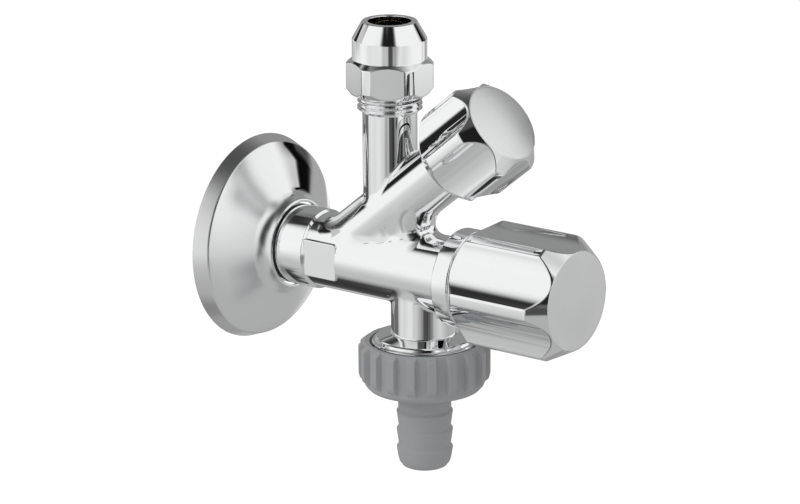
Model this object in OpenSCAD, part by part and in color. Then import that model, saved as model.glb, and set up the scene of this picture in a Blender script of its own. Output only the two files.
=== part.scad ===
// Combination angle valve for a basin and an appliance hose.
//
// X runs out of the wall along the main barrel, Z is up and every axis of the
// valve lies in the plane Y = 0. The origin is on the main axis, in the plane
// of the finished wall. Lengths are millimetres and all parts are shown with
// both outlets closed.

/* [Inlet and escutcheon] */
// Outside radius of the G1/2 thread that enters the wall elbow
inlet_thread_radius = 10.48; // [10.3:0.01:10.8]
// Length of that thread behind the wall
inlet_thread_length = 12; // [8:0.5:14]
// Distance from the wall to the end of the plain shank
shank_end = 22.75; // [19:0.05:24]
// Radius of the water way in the inlet
inlet_bore_radius = 5.5; // [4.5:0.1:5.8]
// Radius of the escutcheon at the wall
escutcheon_radius = 27; // [24:0.5:32]
// Slope of the escutcheon's rim, degrees off the main axis
escutcheon_rim_slope = 20; // [15:1:30]
// Radius of the sphere that the escutcheon's face belongs to
escutcheon_dome_radius = 48; // [42:1:60]
// Place on the main axis where that sphere would end
escutcheon_dome_top = 11.35; // [11:0.05:12]
// How far the whole escutcheon stands off the wall
escutcheon_height = 13.8; // [12:0.2:16]
// Sheet thickness of the escutcheon
escutcheon_wall = 0.9; // [0.6:0.1:1.2]
// Gap between the shank and the hole in the escutcheon
escutcheon_gap = 0.8; // [0.4:0.1:1.2]
// How far the thread's sealing ring stands out of its groove
seal_ring_height = 1.4; // [0.8:0.1:1.8]
// Width of the thread's sealing ring
seal_ring_width = 2.2; // [1.6:0.1:3]

/* [Body] */
// Radius of the main barrel
barrel_radius = 9.75; // [9.4:0.05:10.2]
// Distance from the wall to the front end of the main barrel
barrel_end = 65.8; // [65:0.2:68]
// Width across the two raised spanner flats
flats_width = 19; // [18.4:0.1:19.4]
// Length of the spanner flats
flats_length = 10.1; // [8:0.1:12]
// Height of the spanner flats
flats_height = 9.7; // [8:0.1:11]
// Point on the main axis from which the oblique branch rises
branch_root_x = 27; // [26:0.25:28]
// Angle between the branch and the main axis, degrees
branch_angle = 39.4; // [38:0.2:41]
// Radius of the branch barrel
branch_radius = 7.95; // [7.6:0.05:8.2]
// Length of the branch from its root to its open end
branch_end = 48.5; // [48:0.25:50]
// Radius of the strut between the two barrels
strut_radius = 6.2; // [5.6:0.1:6.8]
// Distance from the wall to the strut
strut_x = 50.25; // [49.5:0.05:51]

/* [Upper outlet] */
// Distance from the wall to the axis of the upper outlet
upper_x = 43.6; // [43:0.1:44.5]
// Radius of the upper tube
upper_radius = 7.02; // [6.8:0.05:7.3]
// Outside radius of the G3/8 thread
upper_thread_radius = 8.33; // [8.2:0.01:8.5]
// Height at which that thread begins
upper_thread_start = 40.4; // [40:0.1:42]
// Length of that thread
upper_thread_length = 12.1; // [10:0.1:12.5]
// Radius of the copper pipe that the outlet takes
pipe_radius = 5; // [4.8:0.05:5.2]
// Depth of the socket for the pipe
pipe_socket_depth = 8.5; // [6:0.25:10]
// Radius of the bore of the upper tube
upper_bore_radius = 4.4; // [3.8:0.1:4.7]

/* [Compression nut] */
// Width across the flats of the nut
nut_across_flats = 20.35; // [20:0.05:21]
// Radius to which the corners of the hexagon are turned
nut_corner_radius = 11.1; // [10.9:0.05:11.4]
// Length of the hexagon with both of its chamfers
nut_hex_length = 9.75; // [9:0.05:11]
// Radius of the round collar above the hexagon
nut_collar_radius = 9.55; // [9.3:0.05:9.9]
// Length of that collar
nut_collar_length = 5.1; // [4:0.1:6]
// Length of the cone that closes the nut
nut_cone_length = 4.5; // [4:0.1:5.5]
// Radius of the flat rim at the top
nut_rim_radius = 7.05; // [6.8:0.05:7.5]
// Free space round the pipe in the top of the nut
nut_pipe_gap = 0.5; // [0.3:0.05:0.8]

/* [Lower outlet] */
// Distance from the wall to the axis of the lower outlet
lower_x = 54.2; // [53.6:0.1:54.8]
// Radius of the lower tube
lower_radius = 8.55; // [8.2:0.05:8.9]
// Radius of the bore of the lower tube
lower_bore_radius = 5.2; // [4.6:0.1:5.5]
// Outside radius of the G3/4 thread
hose_thread_radius = 13.22; // [13.1:0.01:13.3]
// Depth of the point where the tube meets the conical shoulder
shoulder_top = -16.1; // [-17:0.1:-15.5]
// Depth of the shoulder's rim
shoulder_rim = -18.7; // [-19.2:0.1:-18.4]
// Radius of the shoulder's rim
shoulder_radius = 13.5; // [13.4:0.05:13.7]
// Depth of the end of the hose thread
hose_thread_end = -26.8; // [-28:0.1:-26]

/* [Union nut and nozzle] */
// Radius of the union nut over its ribs
union_rib_radius = 16.95; // [16.6:0.05:17.4]
// Radius of the union nut between its ribs
union_core_radius = 15.4; // [15.1:0.05:15.8]
// Number of ribs
union_ribs = 19; // [12:1:24]
// Width of one rib
union_rib_width = 2.8; // [2:0.1:3.2]
// Thickness of the nut's floor
union_floor = 1.6; // [1.2:0.1:2.2]
// Thickness of the flange of the nozzle
nozzle_flange = 1.4; // [1:0.1:2]
// Thickness of the flat gasket
gasket_thickness = 1.4; // [1:0.1:2]
// Radius of the nozzle between its barbs
nozzle_radius = 6.85; // [6.6:0.05:7]
// How far each barb stands out
barb_height = 0.42; // [0.3:0.02:0.5]
// Distance from one barb to the next
barb_pitch = 4.9; // [4.5:0.1:5.2]
// Length of the nozzle below the union nut
nozzle_length = 21.3; // [20:0.1:24]
// Radius of the bore of the nozzle
nozzle_bore_radius = 4.6; // [4:0.1:5]

/* [Check valve] */
// Radius of the cage of the check valve
cage_radius = 8.4; // [8:0.05:8.6]
// Thickness of the cage's end plates
cage_plate = 1.1; // [0.8:0.1:1.3]
// Radius of the poppet
poppet_radius = 4.6; // [4.2:0.05:4.9]
// Radius of the hole that the poppet closes
check_seat_radius = 3.4; // [2.8:0.1:3.8]
// Radius of the poppet's guide stem
poppet_stem_radius = 0.9; // [0.7:0.05:1.1]
// Mean radius of the spring
spring_radius = 2.3; // [2:0.05:2.6]
// Thickness of the spring's wire
spring_wire = 0.4; // [0.3:0.02:0.45]
// Number of turns of the spring
spring_turns = 4; // [3:1:5]

/* [Main valve] */
// Distance from the wall to the floor of the main chamber
main_floor = 41; // [40.5:0.1:41.3]
// Radius of the opening that the main washer closes
main_port_radius = 3.8; // [3.2:0.1:4]
// Radius of the main chamber
main_chamber_radius = 7; // [6.9:0.05:7.1]
// Radius of the thread between the barrel and the main bonnet
main_bonnet_radius = 7.75; // [7.7:0.05:7.9]
// Distance that the main plunger travels from shut to fully open
main_lift = 5; // [4:0.25:5]
// Depth of the main bonnet's thread in the barrel
main_guide_depth = 5.6; // [5:0.1:6.4]
// Height of the lip round the main port
main_lip_height = 1; // [0.6:0.1:1.2]
// Thickness of the main seat washer
main_washer_thickness = 2.6; // [2:0.1:3]
// How deep that washer lies in the plunger
main_cup_depth = 1.6; // [1.2:0.1:1.8]
// Length of the main plunger's round head
main_head_length = 4; // [3:0.1:5]
// Radius of the main plunger's shank
main_shank_radius = 5; // [4.8:0.05:5.1]
// Half the width across the flats of that shank
main_shank_flat = 4.3; // [4.1:0.05:4.4]
// Radius of the thread between the main spindle and its plunger
main_screw_radius = 3; // [2.8:0.05:3.1]
// Distance from the main chamber's floor to the tip of the spindle
main_screw_reach = 15.6; // [14.5:0.1:17]
// Distance from the barrel's end to the main spindle's thrust collar
main_collar_place = 5; // [4.6:0.1:5.4]
// Distance from there to the end of the main spindle's stem
main_stem_length = 9.2; // [8.5:0.1:9.6]
// Width across the flats of the main bonnet's hexagon
main_bonnet_hex = 15; // [14:0.5:15.5]
// Radius of the main spindle's stem
main_stem_radius = 3.5; // [3.3:0.05:3.6]
// Length of the main spindle's splined end
main_spline_length = 7.6; // [6:0.1:8]

/* [Main knob] */
// Distance from the barrel's end to the back of the main knob
main_knob_gap = 4.9; // [4.8:0.1:5.4]
// Length of the main knob
main_knob_length = 30.7; // [29:0.1:33]
// Radius over the six rounded corners
main_knob_corner = 16.2; // [15.8:0.1:17]
// Distance from the axis to the middle of each hollow face
main_knob_face = 12.9; // [12.6:0.05:13.3]
// Radius of the front disc's seat
main_knob_disc = 12.4; // [12:0.1:12.8]
// Radius of the knob's back edge
main_knob_back_radius = 12.7; // [12.3:0.1:13]
// Length of the sloping shoulder at the front
main_knob_front_slope = 4.6; // [3.5:0.1:5.5]
// Length of the sloping shoulder at the back
main_knob_back_slope = 3.3; // [2.5:0.1:4.5]
// Turn of the closed knob about its own axis, degrees
main_knob_turn = 2; // [-30:0.5:30]
// Radius of the chrome ring behind the knob
trim_ring_radius = 12.7; // [12.2:0.1:13]
// How far that ring reaches back over the barrel
trim_ring_overlap = 0.4; // [0.3:0.1:1]
// How far that ring stays clear of the knob
trim_ring_gap = 0.2; // [0.2:0.05:0.4]

/* [Branch valve] */
// Distance along the branch to the floor of its chamber
small_floor = 19; // [18.8:0.1:19.4]
// Radius of the opening that the branch washer closes
small_port_radius = 2.3; // [1.9:0.1:2.5]
// Radius of the branch chamber
small_chamber_radius = 5; // [4.95:0.05:5.1]
// Radius of the thread between the branch and its bonnet
small_bonnet_radius = 6.15; // [6:0.05:6.3]
// Distance that the branch plunger travels from shut to fully open
small_lift = 4; // [3:0.25:4]
// Depth of the branch bonnet's thread in the barrel
small_guide_depth = 16.7; // [15:0.1:17.5]
// Height of the lip round the branch port
small_lip_height = 0.8; // [0.6:0.1:1]
// Thickness of the branch seat washer
small_washer_thickness = 2; // [1.6:0.1:2.4]
// How deep that washer lies in the plunger
small_cup_depth = 1.2; // [1:0.1:1.5]
// Length of the branch plunger's round head
small_head_length = 3.2; // [2.6:0.1:4]
// Radius of the branch plunger's shank
small_shank_radius = 3.9; // [3.7:0.05:4]
// Half the width across the flats of that shank
small_shank_flat = 3.25; // [3.1:0.05:3.35]
// Radius of the thread between the branch spindle and its plunger
small_screw_radius = 2.2; // [2.1:0.05:2.3]
// Distance from the branch chamber's floor to the tip of the spindle
small_screw_reach = 16; // [15:0.1:17.5]
// Distance from the branch's end to its spindle's thrust collar
small_collar_place = 0.8; // [0.6:0.1:1.2]
// Distance from there to the end of the branch spindle's stem
small_stem_length = 6.8; // [6.4:0.1:7.2]
// Width across the flats of the branch bonnet's hexagon
small_bonnet_hex = 13; // [12:0.5:13.5]
// Radius of the branch spindle's stem
small_stem_radius = 2.6; // [2.5:0.05:2.7]
// Length of the branch spindle's splined end
small_spline_length = 4.4; // [3.6:0.1:4.6]

/* [Branch knob] */
// How far the knob reaches back over the branch barrel
small_knob_overlap = 1.7; // [1.2:0.1:2.2]
// Length of the branch knob
small_knob_length = 19.9; // [19:0.1:22]
// Radius over the six rounded corners
small_knob_corner = 13.7; // [13.3:0.1:14.3]
// Distance from the axis to the middle of each hollow face
small_knob_face = 10.8; // [10.6:0.05:11.2]
// Radius of the front disc's seat
small_knob_disc = 10.1; // [9.8:0.1:10.4]
// Radius of the knob's back edge
small_knob_back_radius = 10.7; // [10.5:0.1:11]
// Length of the sloping shoulder at the front
small_knob_front_slope = 3.3; // [2.5:0.1:4]
// Length of the sloping shoulder at the back
small_knob_back_slope = 3.6; // [3:0.1:4.5]
// Turn of the closed knob about its own axis, degrees
small_knob_turn = -3; // [-30:0.5:30]

/* [Fits] */
// Radial play of parts that turn or slide in each other
running_play = 0.05; // [0.03:0.01:0.08]
// Radial play of the screwed joints
thread_play = 0.05; // [0.03:0.01:0.08]
// Free space round moving parts that must not touch
free_gap = 0.35; // [0.3:0.05:0.5]

/* [Hidden] */
$fn = 64;
chrome = [0.86, 0.87, 0.88];
satin = [0.72, 0.73, 0.74];
raw_brass = [0.80, 0.66, 0.36];
grey_plastic = [0.55, 0.57, 0.58];
dark_rubber = [0.13, 0.13, 0.14];
steel = [0.62, 0.64, 0.66];
white_plastic = [0.92, 0.92, 0.90];

// Inlet
shank_radius = inlet_thread_radius - 0.06;
seal_groove_depth = 0.8;
escutcheon_hole = shank_radius + escutcheon_gap;
escutcheon_neck_radius = escutcheon_hole + escutcheon_wall;
escutcheon_neck_round = 5.8;
escutcheon_rim_round = escutcheon_wall + 0.3;

// Upper outlet
upper_thread_end = upper_thread_start + upper_thread_length;
pipe_socket_radius = pipe_radius + running_play + 0.03;
olive_cone_depth = 1.6;
olive_radius = 6.45;
olive_half_length = 2.5;
olive_bore = pipe_socket_radius + 0.02;
olive_nose = 0.35;
olive_seat_play = 0.1;
olive_slope = (olive_radius - olive_bore - olive_nose) / (olive_half_length - 0.4);
olive_seat_top = olive_bore + olive_nose + olive_seat_play + olive_cone_depth * olive_slope;
olive_middle = upper_thread_end + 1;
nut_bottom = upper_thread_start + 3.75;
nut_hex_top = nut_bottom + nut_hex_length;
nut_collar_top = nut_hex_top + nut_collar_length;
nut_top = nut_collar_top + nut_cone_length;
nut_hole_radius = pipe_radius + nut_pipe_gap;
nut_thread_depth = 10.55;

// Lower outlet
hose_thread_top = shoulder_rim - 0.8;
gasket_bottom = hose_thread_end - gasket_thickness;
flange_bottom = gasket_bottom - nozzle_flange;
union_top = shoulder_rim - 0.1;
union_bottom = flange_bottom - union_floor;
union_bore_radius = hose_thread_radius + thread_play;
union_mouth_radius = shoulder_radius + 0.6;
union_floor_hole = nozzle_radius + 0.65;
nozzle_end = union_bottom - nozzle_length;
first_barb = union_bottom - 6.4;
barb_slope = 0.7;

// Check valve
cage_pocket_radius = cage_radius + running_play;
cage_top = shoulder_rim + 0.5;
cage_bottom = hose_thread_end + 0.1;
cage_inner_radius = cage_radius - 1.4;
poppet_top = cage_top - cage_plate;
poppet_disc = 1.1;
spider_top = cage_bottom + cage_plate;

// Knob hubs and drives, shared by both valves
spline_teeth = 12;
spline_depth = 0.4;
cap_fit = 0.05;
cap_disc_thickness = 1;
knob_rim_wall = 0.4;

// One record per valve. Every place is measured along the valve's own axis.
function valve(floor_at, lip, port, chamber, bonnet_r, barrel_at, guide_start,
               washer, cup, head, shank_r, shank_flat, lift, tip_at, screw_r,
               stem, collar_at, stem_end, spline, hex) =
    [["floor", floor_at], ["lip", lip], ["port", port], ["chamber", chamber],
     ["bonnet_r", bonnet_r], ["barrel_at", barrel_at],
     ["guide_start", guide_start], ["washer", washer], ["cup", cup],
     ["head", head], ["shank_r", shank_r], ["shank_flat", shank_flat],
     ["lift", lift], ["tip_at", tip_at], ["screw_r", screw_r],
     ["stem", stem], ["collar_at", collar_at], ["stem_end", stem_end],
     ["spline", spline], ["hex", hex]];
function get(v, name) = v[search([name], v)[0]][1];

main_knob_back = barrel_end + main_knob_gap;
main_knob_front = main_knob_back + main_knob_length;
small_knob_back = branch_end - small_knob_overlap;
small_knob_front = small_knob_back + small_knob_length;
main = valve(
    floor_at = main_floor, lip = main_lip_height, port = main_port_radius,
    chamber = main_chamber_radius, bonnet_r = main_bonnet_radius, barrel_at = barrel_end,
    guide_start = barrel_end - main_guide_depth, washer = main_washer_thickness,
    cup = main_cup_depth, head = main_head_length, shank_r = main_shank_radius,
    shank_flat = main_shank_flat, lift = main_lift, tip_at = main_floor + main_screw_reach,
    screw_r = main_screw_radius, stem = main_stem_radius,
    collar_at = barrel_end + main_collar_place,
    stem_end = barrel_end + main_collar_place + main_stem_length,
    spline = main_spline_length, hex = main_bonnet_hex);
small = valve(
    floor_at = small_floor, lip = small_lip_height, port = small_port_radius,
    chamber = small_chamber_radius, bonnet_r = small_bonnet_radius, barrel_at = branch_end,
    guide_start = branch_end - small_guide_depth, washer = small_washer_thickness,
    cup = small_cup_depth, head = small_head_length, shank_r = small_shank_radius,
    shank_flat = small_shank_flat, lift = small_lift, tip_at = small_floor + small_screw_reach,
    screw_r = small_screw_radius, stem = small_stem_radius,
    collar_at = branch_end + small_collar_place,
    stem_end = branch_end + small_collar_place + small_stem_length,
    spline = small_spline_length, hex = small_bonnet_hex);

seal_thickness = 0.5;
bonnet_collar = 2.4;
bonnet_hex_length = 2.5;
thrust_collar = 1.3;
oring_wire = 1;
lip_width = 0.9;

function washer_face(v) = get(v, "floor") + get(v, "lip");
function shank_end_of(v) = get(v, "collar_at") - get(v, "lift") - 1;
function collar_radius(v) = get(v, "shank_flat") - 0.15;
function stem_bore_start(v) = get(v, "collar_at") + thrust_collar + 0.1;
function oring_at(v, which) =
    stem_bore_start(v) + (get(v, "stem_end") - stem_bore_start(v)) * (which + 0.5) / 2;
function hub_start(v) = get(v, "stem_end") + free_gap;
function spline_end(v) = hub_start(v) + get(v, "spline");
function knob_screw_radius(v) = get(v, "stem") * 0.42;
function hub_web_end(v) = spline_end(v) + 1.6;

// A solid or ring turned about the X axis; points are [radius, place on X].
module turned(points) {
    rotate([0, 90, 0]) rotate_extrude() polygon(points);
}

module rod(radius, from, to) {
    translate([from, 0, 0]) rotate([0, 90, 0]) cylinder(r = radius, h = to - from);
}

module ring(outer, inner, from, to) {
    difference() {
        rod(outer, from, to);
        rod(inner, from - 1, to + 1);
    }
}

// A round bar along X with two flats that keep it from turning.
module flatted_rod(radius, half_width, from, to) {
    intersection() {
        rod(radius, from, to);
        translate([from, -half_width, -radius - 1])
            cube([to - from, 2 * half_width, 2 * radius + 2]);
    }
}

module on_branch() {
    translate([branch_root_x, 0, 0]) rotate([0, -branch_angle, 0]) children();
}

module at_upper() {
    translate([upper_x, 0, 0]) children();
}

module at_lower() {
    translate([lower_x, 0, 0]) children();
}

// The wet side of one valve: its port, chamber, seat lip and bonnet thread.
module chamber_cut(v) {
    floor_at = get(v, "floor");
    difference() {
        rod(get(v, "chamber"), floor_at, get(v, "barrel_at") + 1);
        rod(get(v, "port") + lip_width, floor_at - 1, washer_face(v));
    }
    rod(get(v, "bonnet_r") + thread_play, get(v, "guide_start") - 0.4,
        get(v, "barrel_at") + 1);
}

module seat_washer(v) {
    face = washer_face(v);
    difference() {
        rod(get(v, "port") + lip_width + 0.7, face, face + get(v, "washer"));
        rod(washer_screw_radius(v) + running_play, face - 1,
            face + get(v, "washer") + 1);
    }
}

function washer_screw_radius(v) = get(v, "port") * 0.36;

module washer_screw(v) {
    face = washer_face(v);
    head_r = get(v, "port") * 0.66;
    difference() {
        union() {
            turned([[0, face - 1.2], [head_r - 0.4, face - 1.2], [head_r, face - 0.8],
                    [head_r, face], [0, face]]);
            rod(washer_screw_radius(v), face - 0.1,
                face + get(v, "washer") + get(v, "head"));
        }
        translate([face - 2, -head_r - 1, -0.3]) cube([1.3, 2 * head_r + 2, 0.6]);
    }
}

// Piston that carries the washer; its flats ride in the bonnet.
module plunger(v) {
    face = washer_face(v);
    washer_back = face + get(v, "washer");
    cup_r = get(v, "port") + lip_width + 0.7 + running_play;
    difference() {
        union() {
            rod(min(cup_r + 0.8, get(v, "chamber") - free_gap),
                washer_back - get(v, "cup"), washer_back + get(v, "head"));
            flatted_rod(get(v, "shank_r"), get(v, "shank_flat"),
                        washer_back + get(v, "head") - 0.5, shank_end_of(v));
        }
        rod(cup_r, washer_back - get(v, "cup") - 1, washer_back);
        rod(washer_screw_radius(v) + thread_play, washer_back - 1,
            washer_back + get(v, "head") + 0.5);
        rod(get(v, "screw_r") + thread_play,
            get(v, "tip_at") - get(v, "lift") - 0.4, shank_end_of(v) + 1);
    }
}

// Screwed insert that guides the plunger and seals the stem.
module bonnet(v) {
    barrel_at = get(v, "barrel_at");
    collar_start = barrel_at + seal_thickness;
    difference() {
        union() {
            rod(get(v, "bonnet_r"), get(v, "guide_start"), barrel_at - 1);
            rod(get(v, "bonnet_r") - 0.6, barrel_at - 1.1, collar_start + 0.1);
            rod(bonnet_collar_radius(v), collar_start, bonnet_collar_end(v));
            translate([bonnet_collar_end(v) - 0.1, 0, 0]) rotate([0, 90, 0])
                cylinder(r = hex_corner(v), h = bonnet_hex_length + 0.1, $fn = 6);
            rod(get(v, "stem") + 2.4, bonnet_collar_end(v), get(v, "stem_end"));
        }
        flatted_rod(get(v, "shank_r") + running_play,
                    get(v, "shank_flat") + running_play,
                    get(v, "guide_start") - 1, stem_bore_start(v));
        rod(get(v, "stem") + running_play, stem_bore_start(v) - 1,
            get(v, "stem_end") + 1);
    }
}

function bonnet_collar_end(v) = get(v, "barrel_at") + seal_thickness + bonnet_collar;
function hex_corner(v) = get(v, "hex") / 2 / cos(30);
function bonnet_collar_radius(v) =
    v == main ? barrel_radius - 0.1 : branch_radius - 0.35;

module bonnet_seal(v) {
    ring(bonnet_collar_radius(v), get(v, "bonnet_r") - 0.6 + thread_play,
         get(v, "barrel_at"), get(v, "barrel_at") + seal_thickness);
}

module spline_outline(radius, depth) {
    circle(r = radius - depth);
    for (tooth = [0 : spline_teeth - 1])
        rotate(tooth * 360 / spline_teeth)
            translate([0, -0.3]) square([radius, 0.6]);
}

module spindle(v) {
    stem = get(v, "stem");
    difference() {
        union() {
            turned([[0, get(v, "tip_at")],
                    [get(v, "screw_r") - 0.6, get(v, "tip_at")],
                    [get(v, "screw_r"), get(v, "tip_at") + 0.6],
                    [get(v, "screw_r"), get(v, "collar_at") - 0.4],
                    [0, get(v, "collar_at") - 0.4]]);
            rod(get(v, "screw_r") - 0.4, get(v, "collar_at") - 1, get(v, "collar_at") + 0.5);
            rod(collar_radius(v), get(v, "collar_at"), get(v, "collar_at") + thrust_collar);
            difference() {
                rod(stem, get(v, "collar_at") + 0.1, get(v, "stem_end"));
                for (which = [0, 1])
                    ring(stem + 1, stem - oring_wire + running_play,
                         oring_at(v, which) - oring_wire * 0.65,
                         oring_at(v, which) + oring_wire * 0.65);
            }
            rotate([0, 90, 0]) translate([0, 0, get(v, "stem_end") - 0.5])
                linear_extrude(height = get(v, "spline") + 0.5)
                    spline_outline(stem - 0.15, spline_depth);
        }
        rod(knob_screw_radius(v) + thread_play, hub_start(v),
            get(v, "stem_end") + get(v, "spline") + 1);
    }
}

module oring(v, which) {
    rotate([0, 90, 0]) translate([0, 0, oring_at(v, which)])
        rotate_extrude() translate([get(v, "stem") - oring_wire / 2 + running_play, 0])
            circle(d = oring_wire - running_play);
}

// Six hollow faces between rounded corners, with sloping ends.
module knob_shape(corner, face, disc, back, front, back_radius,
                  front_slope, back_slope, corner_angle) {
    edge = 30 - corner_angle;
    half_chord = corner * sin(edge);
    rise = corner * cos(edge) - face;
    hollow = (half_chord * half_chord + rise * rise) / (2 * rise);
    difference() {
        turned([[0, back], [back_radius, back], [corner, back + back_slope],
                [corner, front - front_slope], [disc, front], [0, front]]);
        for (side = [0 : 5])
            rotate([side * 60, 0, 0]) translate([back - 1, 0, face + hollow])
                rotate([0, 90, 0]) cylinder(r = hollow, h = front - back + 2, $fn = 96);
    }
}

// Cavity for the bonnet, splined socket, screw hole and seat of the front cap.
module knob_bore(v, back, front, disc, cavity, recess) {
    rod(cavity, back - 1, hub_start(v));
    rotate([0, 90, 0]) translate([0, 0, hub_start(v) - 0.5])
        linear_extrude(height = get(v, "spline") + 0.5)
            offset_spline(v);
    rod(knob_screw_radius(v) + 0.15, hub_start(v), front);
    rod(recess, hub_web_end(v), front + 1);
    rod(disc - knob_rim_wall, front - cap_disc_thickness, front + 1);
}

module offset_spline(v) {
    circle(r = get(v, "stem") - 0.15 - spline_depth + running_play);
    for (tooth = [0 : spline_teeth - 1])
        rotate(tooth * 360 / spline_teeth)
            translate([0, -0.3 - running_play])
                square([get(v, "stem") - 0.15 + running_play, 0.6 + 2 * running_play]);
}

module knob_screw(v) {
    shank = knob_screw_radius(v);
    head = shank * 1.9;
    seat = hub_web_end(v);
    difference() {
        union() {
            rod(shank, hub_start(v) + 0.8, seat + 0.1);
            turned([[0, seat], [head, seat], [head, seat + 1.1],
                    [head - 0.5, seat + 1.6], [0, seat + 1.6]]);
        }
        translate([seat + 0.7, 0, 0]) rotate([0, 90, 0])
            for (turn = [0, 90]) rotate(turn)
                translate([-head * 0.6, -0.3, 0]) cube([head * 1.2, 0.6, 2]);
    }
}

// Cover disc with a short skirt that plugs into the knob's recess.
module knob_cap(v, front, disc, recess, dome) {
    seat = disc - knob_rim_wall - cap_fit;
    back = front - cap_disc_thickness;
    turned([[0, back], [seat, back], [seat, front - 0.15], [seat - 0.15, front],
            [seat * 0.6, front + dome * 0.7], [seat * 0.3, front + dome * 0.93],
            [0, front + dome]]);
    ring(recess - cap_fit, recess - cap_fit - 1.2,
         hub_web_end(v) + 2.2, back + 0.1);
}

main_recess = main_knob_disc * 0.62;
small_recess = small_knob_disc * 0.6;
main_cavity = max(hex_corner(main), main_stem_radius + 2.4) + 0.55;
small_cavity = branch_radius + 0.45;

// Centre of the rounding between the rim and the face of the escutcheon.
function rim_centre() =
    let (q = escutcheon_rim_round, slope = escutcheon_rim_slope,
         from_dome = [escutcheon_radius - q * cos(slope),
                      -q * sin(slope) - escutcheon_dome_top + escutcheon_dome_radius],
         along = [-sin(slope), cos(slope)], w = from_dome * along,
         s = -w + sqrt(w * w - from_dome * from_dome + pow(escutcheon_dome_radius - q, 2)))
    [escutcheon_radius - q * cos(slope) - s * sin(slope), -q * sin(slope) + s * cos(slope)];

// Half section of the escutcheon, moved inwards by a part of the wall.
module escutcheon_outline(shrink) {
    slope = escutcheon_rim_slope;
    q = escutcheon_rim_round - shrink;
    middle = rim_centre();
    dome_centre = [0, escutcheon_dome_top - escutcheon_dome_radius];
    on_rim = middle + q * [cos(slope), sin(slope)];
    on_dome = middle + q * (middle - dome_centre) / norm(middle - dome_centre);
    fillet = [escutcheon_neck_radius + escutcheon_neck_round,
              dome_centre[1] + sqrt(pow(escutcheon_dome_radius + escutcheon_neck_round, 2)
                                    - pow(escutcheon_neck_radius + escutcheon_neck_round, 2))];
    touch = dome_centre + (fillet - dome_centre)
        * (escutcheon_dome_radius - shrink) / (escutcheon_dome_radius + escutcheon_neck_round);
    intersection() {
        translate([0, -1]) square([escutcheon_radius + 1, escutcheon_height + shrink + 1]);
        union() {
            polygon([[0, -1], [on_rim[0] + (on_rim[1] + 1) * tan(slope), -1],
                     on_rim, on_dome, [0, on_dome[1]]]);
            translate(middle) circle(r = q, $fn = 24);
            intersection() {
                translate(dome_centre) circle(r = escutcheon_dome_radius - shrink, $fn = 160);
                square([on_dome[0], escutcheon_height]);
            }
            difference() {
                translate([0, touch[1] - 2])
                    square([touch[0], escutcheon_height + shrink - touch[1] + 2]);
                translate(fillet) circle(r = escutcheon_neck_round + shrink);
                translate([touch[0] - 0.01, touch[1] - 3]) square([1, 3]);
            }
        }
    }
}

module escutcheon() {
    color(chrome) difference() {
        rotate([0, 90, 0]) rotate_extrude() difference() {
            intersection() {
                escutcheon_outline(0);
                square([escutcheon_radius + 1, escutcheon_height]);
            }
            escutcheon_outline(escutcheon_wall);
        }
        rod(escutcheon_hole, -1, escutcheon_height + 1);
    }
}

module inlet_seal_ring() {
    color(white_plastic)
        ring(shank_radius + seal_ring_height, shank_radius - seal_groove_depth + running_play,
             0.2, 0.2 + seal_ring_width);
}

// Main barrel with the raised pads that both spanner flats are milled on.
module barrel() {
    corner = 0.8;
    from = shank_end - 0.2;
    to = shank_end + flats_length;
    difference() {
        union() {
            turned([[0, shank_end - 1], [barrel_radius, shank_end - 1],
                    [barrel_radius, barrel_end - 0.4], [barrel_radius - 0.4, barrel_end],
                    [0, barrel_end]]);
            rotate([90, 0, 0]) linear_extrude(height = flats_width + 2, center = true)
                hull() {
                    translate([from, -flats_height / 2]) square([1, flats_height]);
                    for (up = [-1, 1])
                        translate([to - corner, up * (flats_height / 2 - corner)])
                            circle(r = corner, $fn = 24);
                }
        }
        for (side = [-1, 1])
            translate([from - 0.1, side * (flats_width / 2 + 2) - 2, -flats_height / 2 - 1])
                cube([to - from + 0.25, 4, flats_height + 2]);
    }
}

// Post between the two barrels; its foot spreads towards the knob.
module strut() {
    flare = 2.5;
    translate([strut_x, 0, 0])
        cylinder(r = strut_radius, h = (strut_x - branch_root_x) * tan(branch_angle));
    translate([strut_x + strut_radius - 1, 0, barrel_radius - 1])
        rotate([90, 0, 0]) linear_extrude(height = strut_radius, center = true)
            difference() {
                square(flare + 1);
                translate([flare + 1, flare + 1]) circle(r = flare);
            }
}

module body_outside() {
    turned([[0, -inlet_thread_length], [inlet_thread_radius - 1, -inlet_thread_length],
            [inlet_thread_radius, -inlet_thread_length + 1], [inlet_thread_radius, 0],
            [shank_radius, 0.01], [shank_radius, shank_end - 0.6],
            [barrel_radius - 0.1, shank_end], [0, shank_end]]);
    barrel();
    on_branch() rod(branch_radius, 4, branch_end);
    at_upper() {
        cylinder(r = upper_radius, h = upper_thread_start + 0.5);
        rotate_extrude() polygon([
            [0, upper_thread_start - 0.3], [upper_radius, upper_thread_start - 0.3],
            [upper_thread_radius, upper_thread_start + 0.7],
            [upper_thread_radius, upper_thread_end - 0.6],
            [upper_thread_radius - 0.6, upper_thread_end], [0, upper_thread_end]]);
    }
    at_lower() {
        translate([0, 0, shoulder_top - 1]) cylinder(r = lower_radius, h = 1 - shoulder_top);
        rotate_extrude() polygon([
            [0, shoulder_top], [lower_radius, shoulder_top],
            [shoulder_radius - 0.4, shoulder_rim + 0.4], [shoulder_radius, shoulder_rim + 0.1],
            [shoulder_radius, shoulder_rim - 0.4],
            [hose_thread_radius - 0.9, hose_thread_top],
            [hose_thread_radius, hose_thread_top - 0.6],
            [hose_thread_radius, hose_thread_end + 0.8],
            [hose_thread_radius - 0.8, hose_thread_end], [0, hose_thread_end]]);
    }
    strut();
}

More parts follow.
